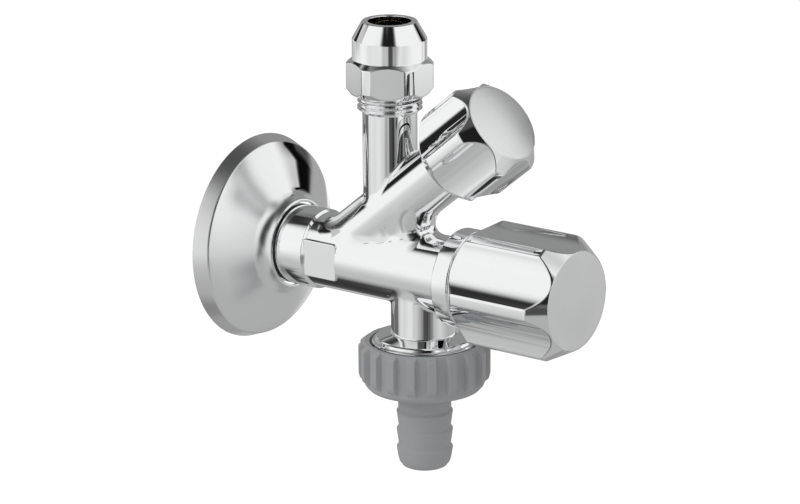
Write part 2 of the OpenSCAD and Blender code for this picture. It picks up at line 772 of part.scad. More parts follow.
module valve_body() {
    color(chrome) difference() {
        body_outside();
        rod(inlet_bore_radius, -inlet_thread_length - 1, main_floor - 2.6);
        rod(main_port_radius, main_floor - 4, main_floor + 2);
        chamber_cut(main);
        ring(shank_radius + 2, shank_radius - seal_groove_depth, 0.2 - running_play,
             0.2 + seal_ring_width + running_play);
        on_branch() {
            rod(small_port_radius, 0, small_floor + 2);
            chamber_cut(small);
        }
        at_upper() {
            translate([0, 0, upper_bore_start()])
                cylinder(r = upper_bore_radius,
                         h = upper_thread_end - upper_bore_start());
            translate([0, 0, upper_thread_end - pipe_socket_depth])
                cylinder(r = pipe_socket_radius, h = pipe_socket_depth + 1);
            rotate_extrude() polygon([
                [0, upper_thread_end - olive_cone_depth],
                [olive_bore + olive_nose + olive_seat_play,
                 upper_thread_end - olive_cone_depth],
                [olive_seat_top, upper_thread_end], [olive_seat_top, upper_thread_end + 1],
                [0, upper_thread_end + 1]]);
        }
        at_lower() {
            translate([0, 0, cage_top - 1]) cylinder(r = lower_bore_radius, h = 1 - cage_top);
            translate([0, 0, hose_thread_end - 1])
                cylinder(r = cage_pocket_radius, h = cage_top - hose_thread_end + 1.1);
        }
    }
}

// The vertical bore starts just above the branch's seat.
function upper_bore_start() = (upper_x - branch_root_x) * tan(branch_angle) + 2.4;

module compression_nut() {
    chamfer = nut_corner_radius - nut_collar_radius;
    color(chrome) at_upper() difference() {
        union() {
            intersection() {
                rotate(-85.7 + 30 + 30)
                    cylinder(d = nut_across_flats / cos(30), h = nut_hex_top + 1, $fn = 6);
                rotate_extrude() polygon([
                    [0, nut_bottom], [upper_thread_radius + 0.3, nut_bottom],
                    [nut_corner_radius - 1, nut_bottom + 1.1],
                    [nut_corner_radius, nut_bottom + 2.6],
                    [nut_corner_radius, nut_hex_top - chamfer * 0.85],
                    [nut_collar_radius, nut_hex_top], [0, nut_hex_top]]);
            }
            rotate_extrude() polygon([
                [0, nut_hex_top - 1], [nut_collar_radius, nut_hex_top - 1],
                [nut_collar_radius, nut_collar_top], [nut_rim_radius, nut_top - 0.1],
                [nut_rim_radius - 0.15, nut_top], [0, nut_top]]);
        }
        translate([0, 0, nut_bottom - 1])
            cylinder(r = upper_thread_radius + thread_play, h = nut_thread_depth + 1);
        rotate_extrude() polygon([
            [0, nut_bottom + nut_thread_depth - 0.1],
            [olive_radius + free_gap, nut_bottom + nut_thread_depth - 0.1],
            [nut_hole_radius, olive_middle + olive_half_length + 0.8],
            [nut_hole_radius, nut_top + 1], [0, nut_top + 1]]);
    }
}

module compression_olive() {
    color(raw_brass) at_upper() rotate_extrude() polygon([
        [olive_bore, olive_middle - olive_half_length],
        [olive_bore + olive_nose, olive_middle - olive_half_length],
        [olive_radius, olive_middle - 0.4], [olive_radius, olive_middle + 0.4],
        [olive_bore + olive_nose, olive_middle + olive_half_length],
        [olive_bore, olive_middle + olive_half_length]]);
}

module union_nut() {
    color(grey_plastic) at_lower() difference() {
        union() {
            rotate_extrude() polygon([
                [0, union_bottom], [union_core_radius - 1, union_bottom],
                [union_core_radius - 0.25, union_bottom + 0.35],
                [union_core_radius, union_bottom + 1.1],
                [union_core_radius, union_top], [0, union_top]]);
            intersection() {
                translate([0, 0, union_bottom])
                    linear_extrude(height = union_top - union_bottom)
                        for (rib = [0 : union_ribs - 1])
                            rotate(-46.5 + rib * 360 / union_ribs)
                                translate([union_core_radius - 1, -union_rib_width / 2])
                                    square([union_rib_radius - union_core_radius + 2,
                                            union_rib_width]);
                rotate_extrude() polygon([
                    [0, union_bottom + 2.2], [union_core_radius, union_bottom + 2.2],
                    [union_rib_radius - 0.35, union_bottom + 3.4],
                    [union_rib_radius, union_bottom + 4.4],
                    [union_rib_radius, union_top - 1.1],
                    [union_core_radius + 0.4, union_top], [0, union_top]]);
            }
        }
        translate([0, 0, flange_bottom])
            cylinder(r = union_bore_radius, h = union_top - flange_bottom + 1);
        translate([0, 0, union_top - 1])
            cylinder(r = union_mouth_radius, h = 2);
        translate([0, 0, union_bottom - 1])
            cylinder(r = union_floor_hole, h = union_floor + 2);
    }
}

function barb(index) = let (crest = first_barb - index * barb_pitch) [
    [nozzle_radius - 0.15, crest + barb_slope],
    [nozzle_radius + barb_height, crest]];

module hose_nozzle() {
    color(grey_plastic) at_lower() rotate_extrude() polygon(concat(
        [[nozzle_bore_radius, gasket_bottom], [union_bore_radius - free_gap, gasket_bottom],
         [union_bore_radius - free_gap, flange_bottom], [nozzle_radius, flange_bottom],
         [nozzle_radius, first_barb + barb_slope + 0.3]],
        barb(0), barb(1), barb(2),
        [[nozzle_radius, nozzle_end + 2.4], [nozzle_radius - 0.35, nozzle_end + 1.3],
         [nozzle_radius - 1.1, nozzle_end + 0.3], [nozzle_radius - 1.7, nozzle_end],
         [nozzle_bore_radius, nozzle_end]]));
}

module hose_gasket() {
    color(dark_rubber) at_lower() translate([0, 0, gasket_bottom]) difference() {
        cylinder(r = union_bore_radius - free_gap, h = gasket_thickness);
        translate([0, 0, -1]) cylinder(r = cage_inner_radius, h = gasket_thickness + 2);
    }
}

module check_cage() {
    hub = poppet_stem_radius + 1;
    color(white_plastic) at_lower() {
        difference() {
            translate([0, 0, cage_bottom]) cylinder(r = cage_radius, h = cage_top - cage_bottom);
            translate([0, 0, cage_bottom - 1])
                cylinder(r = cage_inner_radius, h = poppet_top - cage_bottom + 1);
            translate([0, 0, cage_bottom]) cylinder(r = check_seat_radius, h = 20);
        }
        translate([0, 0, cage_bottom]) difference() {
            union() {
                cylinder(r = spring_radius + spring_wire, h = cage_plate);
                for (arm = [0 : 2]) rotate(arm * 120)
                    translate([0, -0.7, 0]) cube([cage_inner_radius + 0.3, 1.4, cage_plate]);
            }
            translate([0, 0, -1])
                cylinder(r = poppet_stem_radius + running_play, h = cage_plate + 2);
        }
    }
}

module check_poppet() {
    color(white_plastic) at_lower() rotate_extrude() polygon([
        [0, cage_bottom + 0.2], [poppet_stem_radius, cage_bottom + 0.2],
        [poppet_stem_radius, poppet_top - poppet_disc], [poppet_radius, poppet_top - poppet_disc],
        [poppet_radius, poppet_top], [check_seat_radius - 0.3, poppet_top],
        [1, poppet_top + 0.8], [0, poppet_top + 0.8]]);
}

// Wire section swept along a helix, with closed ends.
module coil(radius, wire, low, high, turns) {
    sides = 8;
    steps = turns * 20;
    rise = high - low - wire;
    rings = [for (i = [0 : steps]) let (a = 360 * turns * i / steps) [
        for (k = [0 : sides - 1]) let (b = 360 * k / sides, r = radius + wire / 2 * cos(b))
            [r * cos(a), r * sin(a), low + wire / 2 + rise * i / steps + wire / 2 * sin(b)]]];
    points = [for (one = rings, p = one) p];
    last = steps * sides;
    polyhedron(points, concat(
        [[for (k = [0 : sides - 1]) k]],
        [for (i = [0 : steps - 1], k = [0 : sides - 1]) let (n = (k + 1) % sides)
            [i * sides + k, (i + 1) * sides + k, (i + 1) * sides + n, i * sides + n]],
        [[for (k = [sides - 1 : -1 : 0]) last + k]]));
}

module check_spring() {
    color(steel) at_lower()
        coil(spring_radius, spring_wire, spider_top, poppet_top - poppet_disc, spring_turns);
}

module main_bonnet() {
    color(raw_brass) bonnet(main);
}

module main_bonnet_seal() {
    color(dark_rubber) bonnet_seal(main);
}

// Loose chrome sleeve that hides the joint between barrel and bonnet.
module main_trim_ring() {
    back = barrel_end - trim_ring_overlap;
    front = main_knob_back - trim_ring_gap;
    color(chrome) difference() {
        turned([[0, back], [trim_ring_radius - 0.4, back], [trim_ring_radius, back + 0.4],
                [trim_ring_radius, front - 0.3], [trim_ring_radius - 0.3, front], [0, front]]);
        rod(barrel_radius + running_play, back - 1, bonnet_collar_end(main));
        rod(hex_corner(main) + 0.2, back, front + 1);
    }
}

module main_spindle() {
    color(raw_brass) spindle(main);
}

module main_inner_oring() {
    color(dark_rubber) oring(main, 0);
}

module main_outer_oring() {
    color(dark_rubber) oring(main, 1);
}

module main_plunger() {
    color(raw_brass) plunger(main);
}

module main_seat_washer() {
    color(dark_rubber) seat_washer(main);
}

module main_washer_screw() {
    color(raw_brass) washer_screw(main);
}

module main_knob() {
    color(chrome) difference() {
        rotate([main_knob_turn, 0, 0])
            knob_shape(main_knob_corner, main_knob_face, main_knob_disc, main_knob_back,
                       main_knob_front, main_knob_back_radius, main_knob_front_slope,
                       main_knob_back_slope, 5.1);
        knob_bore(main, main_knob_back, main_knob_front, main_knob_disc, main_cavity,
                  main_recess);
    }
}

module main_knob_screw() {
    color(steel) knob_screw(main);
}

module main_knob_cap() {
    color(satin) knob_cap(main, main_knob_front, main_knob_disc, main_recess, 0);
}

module small_bonnet() {
    color(raw_brass) on_branch() bonnet(small);
}

module small_bonnet_seal() {
    color(dark_rubber) on_branch() bonnet_seal(small);
}

module small_spindle() {
    color(raw_brass) on_branch() spindle(small);
}

module small_inner_oring() {
    color(dark_rubber) on_branch() oring(small, 0);
}

module small_outer_oring() {
    color(dark_rubber) on_branch() oring(small, 1);
}

module small_plunger() {
    color(raw_brass) on_branch() plunger(small);
}

module small_seat_washer() {
    color(dark_rubber) on_branch() seat_washer(small);
}

module small_washer_screw() {
    color(raw_brass) on_branch() washer_screw(small);
}

module small_knob() {
    color(chrome) on_branch() difference() {
        rotate([small_knob_turn, 0, 0])
            knob_shape(small_knob_corner, small_knob_face, small_knob_disc, small_knob_back,
                       small_knob_front, small_knob_back_radius, small_knob_front_slope,
                       small_knob_back_slope, 6);
        knob_bore(small, small_knob_back, small_knob_front, small_knob_disc, small_cavity,
                  small_recess);
    }
}

module small_knob_screw() {
    color(steel) on_branch() knob_screw(small);
}

module small_knob_cap() {
    color(satin) on_branch()
        knob_cap(small, small_knob_front, small_knob_disc, small_recess, 0.5);
}

valve_body();
escutcheon();
inlet_seal_ring();
compression_nut();
compression_olive();
union_nut();
hose_nozzle();
hose_gasket();
check_cage();
check_poppet();
check_spring();
main_bonnet();
main_bonnet_seal();
main_trim_ring();
main_spindle();
main_inner_oring();
main_outer_oring();
main_plunger();
main_seat_washer();
main_washer_screw();
main_knob();
main_knob_screw();
main_knob_cap();
small_bonnet();
small_bonnet_seal();
small_spindle();
small_inner_oring();
small_outer_oring();
small_plunger();
small_seat_washer();
small_washer_screw();
small_knob();
small_knob_screw();
small_knob_cap();
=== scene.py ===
"""Dresses the combination angle valve. Sizes in the classes are millimetres."""

import logging
import math
from contextlib import contextmanager
from dataclasses import dataclass
from enum import Enum
from typing import Callable, Iterator, Sequence

import bpy
import numpy as np
from mathutils import Matrix, Vector


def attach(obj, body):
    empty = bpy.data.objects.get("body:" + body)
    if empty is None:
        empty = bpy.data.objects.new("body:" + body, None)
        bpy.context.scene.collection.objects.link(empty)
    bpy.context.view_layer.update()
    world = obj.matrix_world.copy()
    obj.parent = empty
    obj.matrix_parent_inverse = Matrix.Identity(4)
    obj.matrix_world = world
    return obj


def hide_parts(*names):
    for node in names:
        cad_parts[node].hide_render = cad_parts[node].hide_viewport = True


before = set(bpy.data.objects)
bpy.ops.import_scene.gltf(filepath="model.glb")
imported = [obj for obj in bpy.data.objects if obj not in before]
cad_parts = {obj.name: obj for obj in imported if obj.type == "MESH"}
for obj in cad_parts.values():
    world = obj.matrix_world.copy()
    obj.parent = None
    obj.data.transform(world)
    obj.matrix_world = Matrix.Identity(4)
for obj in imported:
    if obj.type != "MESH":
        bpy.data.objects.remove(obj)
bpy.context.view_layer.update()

log = logging.getLogger("angle_valve")

MM = 0.001
FULL_TURN = 2 * math.pi
Outline = list[tuple[float, float]]
RadiusRule = Callable[[np.ndarray, np.ndarray, np.ndarray], np.ndarray]


class Axis(Enum):
    """The five axes of the valve: where each starts and how far it leans from the X axis."""

    MAIN = (0.0, 0.0)
    BRANCH = (27.0, 39.4)
    UPPER = (43.6, 90.0)
    STRUT = (50.25, 90.0)
    LOWER = (54.2, 90.0)

    def matrix(self) -> Matrix:
        """Returns the place of this axis, with its length along local Z."""
        start, lean = self.value
        turn = Matrix.Rotation(math.radians(90 - lean), 4, "Y")
        return Matrix.Translation((start, 0, 0)) @ turn


# ---------------------------------------------------------------- modelling


def only(piece: bpy.types.Object) -> None:
    """Selects one object and makes it the active one."""
    bpy.ops.object.select_all(action="DESELECT")
    piece.select_set(True)
    bpy.context.view_layer.objects.active = piece


@contextmanager
def editing(piece: bpy.types.Object) -> Iterator[None]:
    """Keeps a piece in edit mode, with all of it selected, while the block runs."""
    only(piece)
    bpy.ops.object.mode_set(mode="EDIT")
    bpy.ops.mesh.select_all(action="SELECT")
    try:
        yield
    finally:
        bpy.ops.object.mode_set(mode="OBJECT")


def named(name: str) -> bpy.types.Object:
    """Gives the object just added its name and returns it."""
    piece = bpy.context.object
    piece.name = piece.data.name = name
    return piece


def rounded(corners: Sequence[tuple], closed: bool = False, steps: int = 5) -> Outline:
    """Rounds the corners of an outline.

    Args:
        corners: (radius, place) or (radius, place, rounding) of each corner.
        closed: whether the last corner joins the first.
        steps: facets of one rounding.

    Returns:
        The outline's points.
    """
    points = [np.array(c[:2], float) for c in corners]
    made: list[np.ndarray] = []
    for i, corner in enumerate(corners):
        here = points[i]
        inner = closed or 0 < i < len(corners) - 1
        if len(corner) < 3 or not inner:
            made.append(here)
            continue
        before, after = points[i - 1] - here, points[(i + 1) % len(points)] - here
        far = min(np.linalg.norm(before), np.linalg.norm(after))
        before, after = before / np.linalg.norm(before), after / np.linalg.norm(after)
        half = math.acos(float(np.clip(before @ after, -1, 1))) / 2
        reach = min(corner[2] / math.tan(half), far * 0.48)
        radius = reach * math.tan(half)
        centre = here + (before + after) / np.linalg.norm(before + after) * radius / math.sin(half)
        first, last = here + before * reach - centre, here + after * reach - centre
        sweep = math.acos(float(np.clip(first @ last / radius**2, -1, 1)))
        for k in range(steps + 1):
            share = k / steps
            mix = first * math.sin((1 - share) * sweep) + last * math.sin(share * sweep)
            made.append(centre + mix / math.sin(sweep))
    return [(float(r), float(z)) for r, z in made]


def arc(centre: Sequence[float], radius: float, start: float, end: float, steps: int) -> Outline:
    """Returns points of an arc; its ends are angles in radians."""
    angles = np.linspace(start, end, steps + 1)
    return [(centre[0] + radius * math.cos(a), centre[1] + radius * math.sin(a)) for a in angles]


def in_steps(outline: Outline, step: float, spans: Sequence[tuple[float, float]],
             outside: float) -> Outline:
    """Adds points to the stretches of a closed outline that are shaped later.

    Args:
        outline: the points.
        step: largest distance between points there.
        spans: the places, low to high, that need them.
        outside: the least radius that counts.

    Returns:
        The closer outline.
    """
    made: Outline = []
    for a, b in zip(outline, outline[1:] + outline[:1]):
        made.append(a)
        middle = (a[1] + b[1]) / 2
        close = any(low <= middle <= high for low, high in spans)
        if close and min(a[0], b[0]) >= outside:
            count = int(math.dist(a, b) / step)
            made += [(a[0] + (b[0] - a[0]) * k / (count + 1), a[1] + (b[1] - a[1]) * k / (count + 1))
                     for k in range(1, count + 1)]
    return made


def turned(name: str, outline: Outline, closed: bool, steps: int = 192) -> bpy.types.Object:
    """Draws an outline point by point and spins it about local Z.

    Args:
        name: the new piece's name.
        outline: (radius, place) of each point.
        closed: whether the outline is a ring; otherwise it starts and ends on the axis.
        steps: facets of the full turn.

    Returns:
        The turned piece.
    """
    bpy.ops.object.select_all(action="DESELECT")
    bpy.ops.mesh.primitive_plane_add(size=1, location=(0, 0, 0))
    piece = named(name)
    with editing(piece):
        bpy.ops.mesh.merge(type="CENTER")
        bpy.ops.transform.translate(value=(outline[0][0], 0, outline[0][1]))
        for (r, z), (next_r, next_z) in zip(outline, outline[1:]):
            bpy.ops.mesh.extrude_vertices_move(
                TRANSFORM_OT_translate={"value": (next_r - r, 0, next_z - z)})
        if closed:
            r, z = outline[-1]
            bpy.ops.mesh.extrude_vertices_move(
                TRANSFORM_OT_translate={"value": (outline[0][0] - r, 0, outline[0][1] - z)})
        bpy.ops.mesh.select_all(action="SELECT")
        bpy.ops.mesh.remove_doubles(threshold=1e-4)
        bpy.ops.mesh.spin(steps=steps, angle=FULL_TURN, center=(0, 0, 0), axis=(0, 0, 1))
        bpy.ops.mesh.select_all(action="SELECT")
        bpy.ops.mesh.remove_doubles(threshold=1e-4)
        bpy.ops.mesh.normals_make_consistent(inside=False)
    return piece


def shaped(piece: bpy.types.Object, rule: RadiusRule) -> None:
    """Moves each point of a turned piece to the radius that a rule gives it.

    Args:
        piece: a piece turned about local Z.
        rule: takes angles, places and radii, and returns the new radii.
    """
    places = points_of(piece)
    radii = np.hypot(places[:, 0], places[:, 1])
    angles = np.arctan2(places[:, 1], places[:, 0])
    new = rule(angles, places[:, 2], radii)
    places[:, :2] *= (new / np.maximum(radii, 1e-9))[:, None]
    move_points(piece, places)


def points_of(piece: bpy.types.Object) -> np.ndarray:
    """Returns the places of a piece's points, one to a row."""
    places = np.empty(len(piece.data.vertices) * 3)
    piece.data.vertices.foreach_get("co", places)
    return places.reshape(-1, 3)


def move_points(piece: bpy.types.Object, places: np.ndarray) -> None:
    """Gives the points of a piece new places."""
    piece.data.vertices.foreach_set("co", places.ravel())
    piece.data.update()


def combined(piece: bpy.types.Object, other: bpy.types.Object, operation: str) -> None:
    """Joins or cuts a piece with another one, which is used up."""
    only(piece)
    change = piece.modifiers.new("cut", "BOOLEAN")
    change.object, change.operation, change.solver = other, operation, "EXACT"
    bpy.ops.object.modifier_apply(modifier=change.name)
    bpy.data.objects.remove(other)


def placed(piece: bpy.types.Object, axis: Axis) -> bpy.types.Object:
    """Puts a piece on its axis, still in millimetres."""
    piece.data.transform(axis.matrix())
    return piece


def soft_min(a: np.ndarray, b: np.ndarray, blend: float) -> np.ndarray:
    """Returns the smaller of two values, rounded where they meet."""
    share = np.clip(0.5 + 0.5 * (b - a) / blend, 0, 1)
    return b + (a - b) * share - blend * share * (1 - share)


def smooth_step(low: float, high: float, value: np.ndarray) -> np.ndarray:
    """Returns 0 below low, 1 above high and a smooth rise between."""
    share = np.clip((value - low) / (high - low), 0, 1)
    return share * share * (3 - 2 * share)


@dataclass(frozen=True)
class Form:
    """A turned surface: its outline and its axis."""

    outline: Outline
    axis: Axis

    def normals(self) -> tuple[np.ndarray, np.ndarray, np.ndarray, np.ndarray]:
        """Returns starts, ends, and the normals at both ends of every stretch of the outline."""
        points = np.array(self.outline)
        starts, ends = points[:-1], points[1:]
        run = ends - starts
        own = np.stack([run[:, 1], -run[:, 0]], 1)
        own /= np.maximum(np.linalg.norm(own, axis=1), 1e-9)[:, None]
        first, last = own.copy(), own.copy()
        for i in range(1, len(own)):
            if own[i] @ own[i - 1] > 0.82:
                mean = own[i] + own[i - 1]
                first[i] = last[i - 1] = mean / np.linalg.norm(mean)
        return starts, ends, first, last


@dataclass(frozen=True)
class Bar:
    """A round bar of the casting."""

    axis: Axis
    radius: float
    start: float
    end: float
    blend: float
    top_blend: float | None = None

    def softness(self, places: np.ndarray) -> np.ndarray:
        """Returns the width of the fillets, which can change above the main barrel."""
        top = self.blend if self.top_blend is None else self.top_blend
        return self.blend + (top - self.blend) * smooth_step(10, 13.5, places[:, 2])

    def split(self, places: np.ndarray) -> tuple[np.ndarray, np.ndarray]:
        """Returns how far places lie outside the bar's side and beyond its ends."""
        matrix = np.array(self.axis.matrix())
        offset = places - matrix[:3, 3]
        z = offset @ matrix[:3, 2]
        r = np.linalg.norm(offset - z[:, None] * matrix[:3, 2], axis=1)
        return r - self.radius, np.maximum(self.start - z, z - self.end)

    def distance(self, places: np.ndarray) -> np.ndarray:
        """Returns how far places lie outside the bar."""
        side, end = self.split(places)
        return np.hypot(np.maximum(side, 0), np.maximum(end, 0)) + np.minimum(
            np.maximum(side, end), 0)


@dataclass(frozen=True)
class Casting:
    """Round bars that run into each other with soft fillets."""

    bars: tuple[Bar, ...]

    def distance(self, places: np.ndarray) -> np.ndarray:
        """Returns about how far places lie outside the soft skin."""
        total = self.bars[0].distance(places)
        for bar in self.bars[1:]:
            total = soft_min(total, bar.distance(places), bar.softness(places))
        return total

    def slope(self, places: np.ndarray) -> np.ndarray:
        """Returns the gradient of the distance."""
        step = 1e-3
        rise = [self.distance(places + way) - self.distance(places - way)
                for way in np.eye(3) * step]
        return np.stack(rise, 1) / (2 * step)

    def on_side(self, places: np.ndarray, reach: float) -> np.ndarray:
        """Returns which places lie on the outer side of a bar, give or take reach."""
        outer = np.min([bar.distance(places) for bar in self.bars], axis=0) > -reach
        sides = [(np.abs(side) < reach) & (end < reach)
                 for side, end in (bar.split(places) for bar in self.bars)]
        return outer & np.any(sides, axis=0)

    def settle(self, piece: bpy.types.Object) -> np.ndarray:
        """Moves the points of the bars' sides onto the soft skin.

        Args:
            piece: the joined bars, in millimetres.

        Returns:
            Which faces belong to the skin.
        """
        centres = np.empty(len(piece.data.polygons) * 3)
        piece.data.polygons.foreach_get("center", centres)
        places = points_of(piece)
        skin = self.on_side(places, 0.01)
        faces = self.on_side(centres.reshape(-1, 3), 0.03)
        places[skin] = self.pulled(places[skin], 8)
        move_points(piece, places)
        return faces

    def pulled(self, places: np.ndarray, rounds: int) -> np.ndarray:
        """Returns places moved onto the soft skin."""
        for _ in range(rounds):
            slope = self.slope(places)
            steep = np.maximum((slope**2).sum(1), 0.1)
            places = places - (self.distance(places) / steep)[:, None] * slope
        return places


def true_normals(piece: bpy.types.Object, forms: Sequence[Form], casting: Casting,
                 skin: np.ndarray) -> None:
    """Gives faces cut from turned surfaces the exact normals of those surfaces.

    Args:
        piece: the piece, in millimetres.
        forms: the turned surfaces that it was made from.
        casting: the soft skin.
        skin: which faces belong to the skin.
    """
    mesh = piece.data
    smoothed(piece, 35)
    weighted = piece.modifiers.new("weighted", "WEIGHTED_NORMAL")
    weighted.keep_sharp = True
    bpy.ops.object.modifier_apply(modifier=weighted.name)
    count = len(mesh.polygons)
    centres, flat = np.empty(count * 3), np.empty(count * 3)
    totals, corners = np.empty(count, int), np.empty(len(mesh.loops), int)
    made = np.empty(len(mesh.loops) * 3)
    mesh.polygons.foreach_get("center", centres)
    mesh.polygons.foreach_get("normal", flat)
    mesh.polygons.foreach_get("loop_total", totals)
    mesh.loops.foreach_get("vertex_index", corners)
    mesh.corner_normals.foreach_get("vector", made)
    centres, flat, made = centres.reshape(-1, 3), flat.reshape(-1, 3), made.reshape(-1, 3)
    points = points_of(piece)
    owner = np.repeat(np.arange(count), totals)
    free = ~skin
    on_skin = skin[owner]
    slope = casting.slope(points[corners[on_skin]])
    made[on_skin] = slope / np.linalg.norm(slope, axis=1)[:, None]
    for form in forms:
        place = np.array(form.axis.matrix())
        start, along = place[:3, 3], place[:3, 2]

        def split(where: np.ndarray) -> tuple[np.ndarray, np.ndarray, np.ndarray]:
            """Returns radius, place along the axis and outward direction."""
            offset = where - start
            z = offset @ along
            out = offset - z[:, None] * along
            r = np.linalg.norm(out, axis=1)
            return r, z, out / np.maximum(r, 1e-9)[:, None]

        r, z, out = split(centres)
        corner_r, corner_z, corner_out = split(points[corners])
        lean_r, lean_z = (flat * out).sum(1), flat @ along
        for a, b, n0, n1 in zip(*form.normals()):
            run = b - a
            length = float(run @ run)
            if length < 1e-9:
                continue
            share = ((r - a[0]) * run[0] + (z - a[1]) * run[1]) / length
            off = np.abs((r - a[0]) * run[1] - (z - a[1]) * run[0]) / math.sqrt(length)
            own = np.array([run[1], -run[0]]) / math.sqrt(length)
            facing = lean_r * own[0] + lean_z * own[1]
            hit = free & (off < 0.02) & (share > -0.01) & (share < 1.01) & (np.abs(facing) > 0.98)
            if not hit.any():
                continue
            free &= ~hit
            mine = hit[owner]
            t = ((corner_r[mine] - a[0]) * run[0] + (corner_z[mine] - a[1]) * run[1]) / length
            t = np.clip(t, 0, 1)[:, None]
            lean = n0 * (1 - t) + n1 * t
            side = np.sign(facing[owner[mine]])[:, None]
            normal = (lean[:, :1] * corner_out[mine] + lean[:, 1:] * along) * side
            made[mine] = normal / np.linalg.norm(normal, axis=1)[:, None]
    only(piece)
    bpy.ops.object.shade_smooth()
    mesh.normals_split_custom_set(made)


def done(piece: bpy.types.Object, body: str, slot: str, *nodes: str) -> bpy.types.Object:
    """Brings a piece to metres, ties it to its body and hides the CAD nodes that it replaces.

    Args:
        piece: the finished piece, in millimetres.
        body: the CAD body that it rides on.
        slot: the name of a material slot; not used.
        nodes: the CAD nodes that it replaces.

    Returns:
        The same piece.
    """
    piece.data.transform(Matrix.Scale(MM, 4))
    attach(piece, body)
    if nodes:
        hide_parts(*nodes)
    log.info("%s: %d faces on %s", piece.name, len(piece.data.polygons), body)
    return piece


# ----------------------------------------------------------------- shaders


class Socket:
    """One output of a node, which adds Math nodes when it is used in sums."""

    def __init__(self, finish: "Shader", output: bpy.types.NodeSocket) -> None:
        """Keeps the shader and the output."""
        self.finish, self.output = finish, output

    def math(self, operation: str, *others: "float | Socket", flip: bool = False) -> "Socket":
        """Returns the result of a Math node on this value and others."""
        values = [self, *others]
        if flip:
            values.reverse()
        return self.finish.node("ShaderNodeMath", {"operation": operation},
                                {i: v for i, v in enumerate(values)})

    def __add__(self, other: "float | Socket") -> "Socket":
        """Sum."""
        return self.math("ADD", other)

    __radd__ = __add__

    def __sub__(self, other: "float | Socket") -> "Socket":
        """Difference."""
        return self.math("SUBTRACT", other)

    def __rsub__(self, other: "float | Socket") -> "Socket":
        """Difference, reflected."""
        return self.math("SUBTRACT", other, flip=True)

    def __mul__(self, other: "float | Socket") -> "Socket":
        """Product."""
        return self.math("MULTIPLY", other)

    __rmul__ = __mul__

    def __truediv__(self, other: "float | Socket") -> "Socket":
        """Quotient."""
        return self.math("DIVIDE", other)

    def __gt__(self, other: "float | Socket") -> "Socket":
        """1 where this is greater."""
        return self.math("GREATER_THAN", other)

    def __lt__(self, other: "float | Socket") -> "Socket":
        """1 where this is less."""
        return self.math("LESS_THAN", other)

    def power(self, exponent: float) -> "Socket":
        """This value to a power."""
        return self.math("POWER", exponent)

    def clamped(self) -> "Socket":
        """This value held between 0 and 1."""
        return self.finish.node("ShaderNodeClamp", {}, {0: self})

    def steps(self, low: float, high: float) -> "Socket":
        """0 below low, 1 above high and a smooth rise between."""
        return self.finish.node(
            "ShaderNodeMapRange", {"interpolation_type": "SMOOTHSTEP"},
            {"Value": self, "From Min": low, "From Max": high})


class Shader:
    """The node tree of one material or of the world."""

    def __init__(self, tree: bpy.types.NodeTree) -> None:
        """Empties the tree."""
        self.tree = tree
        tree.nodes.clear()

    def node(self, kind: str, settings: dict, values: dict, output: int | str = 0) -> Socket:
        """Adds a node.

        Args:
            kind: its type.
            settings: its properties; "stops" are the stops of a ramp.
            values: values or sockets of its inputs, by name or number.
            output: the output that is returned.

        Returns:
            That output.
        """
        made = self.tree.nodes.new(kind)
        for key, value in settings.items():
            if key == "stops":
                ramp = made.color_ramp
                while len(ramp.elements) < len(value):
                    ramp.elements.new(0.5)
                for element, (place, colour) in zip(ramp.elements, value):
                    element.position, element.color = place, (*colour, 1)
            else:
                setattr(made, key, value)
        for key, value in values.items():
            if isinstance(value, Socket):
                self.tree.links.new(value.output, made.inputs[key])
            else:
                made.inputs[key].default_value = value
        return Socket(self, made.outputs[output])

    def mix(self, factor: "float | Socket", a: "tuple | Socket", b: "tuple | Socket") -> Socket:
        """Returns a colour between two."""
        a, b = [(*c, 1) if isinstance(c, tuple) else c for c in (a, b)]
        return self.node("ShaderNodeMix", {"data_type": "RGBA"},
                         {0: factor, 6: a, 7: b}, 2)

    def place(self) -> Socket:
        """Returns the place on the object, in metres."""
        return self.node("ShaderNodeTexCoord", {}, {}, "Object")

    def noise(self, scale: float, detail: float, stretch: tuple = (1, 1, 1)) -> Socket:
        """Returns noise on the object's own place.

        Args:
            scale: grains to the metre.
            detail: octaves.
            stretch: scale factors along X, Y and Z.
        """
        spot = self.node("ShaderNodeMapping", {}, {"Vector": self.place(), "Scale": stretch})
        return self.node("ShaderNodeTexNoise", {},
                         {"Vector": spot, "Scale": scale, "Detail": detail})

    def surface(self, **values: object) -> None:
        """Ends a material in a Principled shader with these inputs."""
        names = {k.replace("_", " "): v for k, v in values.items()}
        shader = self.node("ShaderNodeBsdfPrincipled", {}, names)
        self.node_out("ShaderNodeOutputMaterial", shader)

    def node_out(self, kind: str, shader: Socket) -> None:
        """Links a shader to the tree's output."""
        out = self.tree.nodes.new(kind)
        self.tree.links.new(shader.output, out.inputs["Surface"])


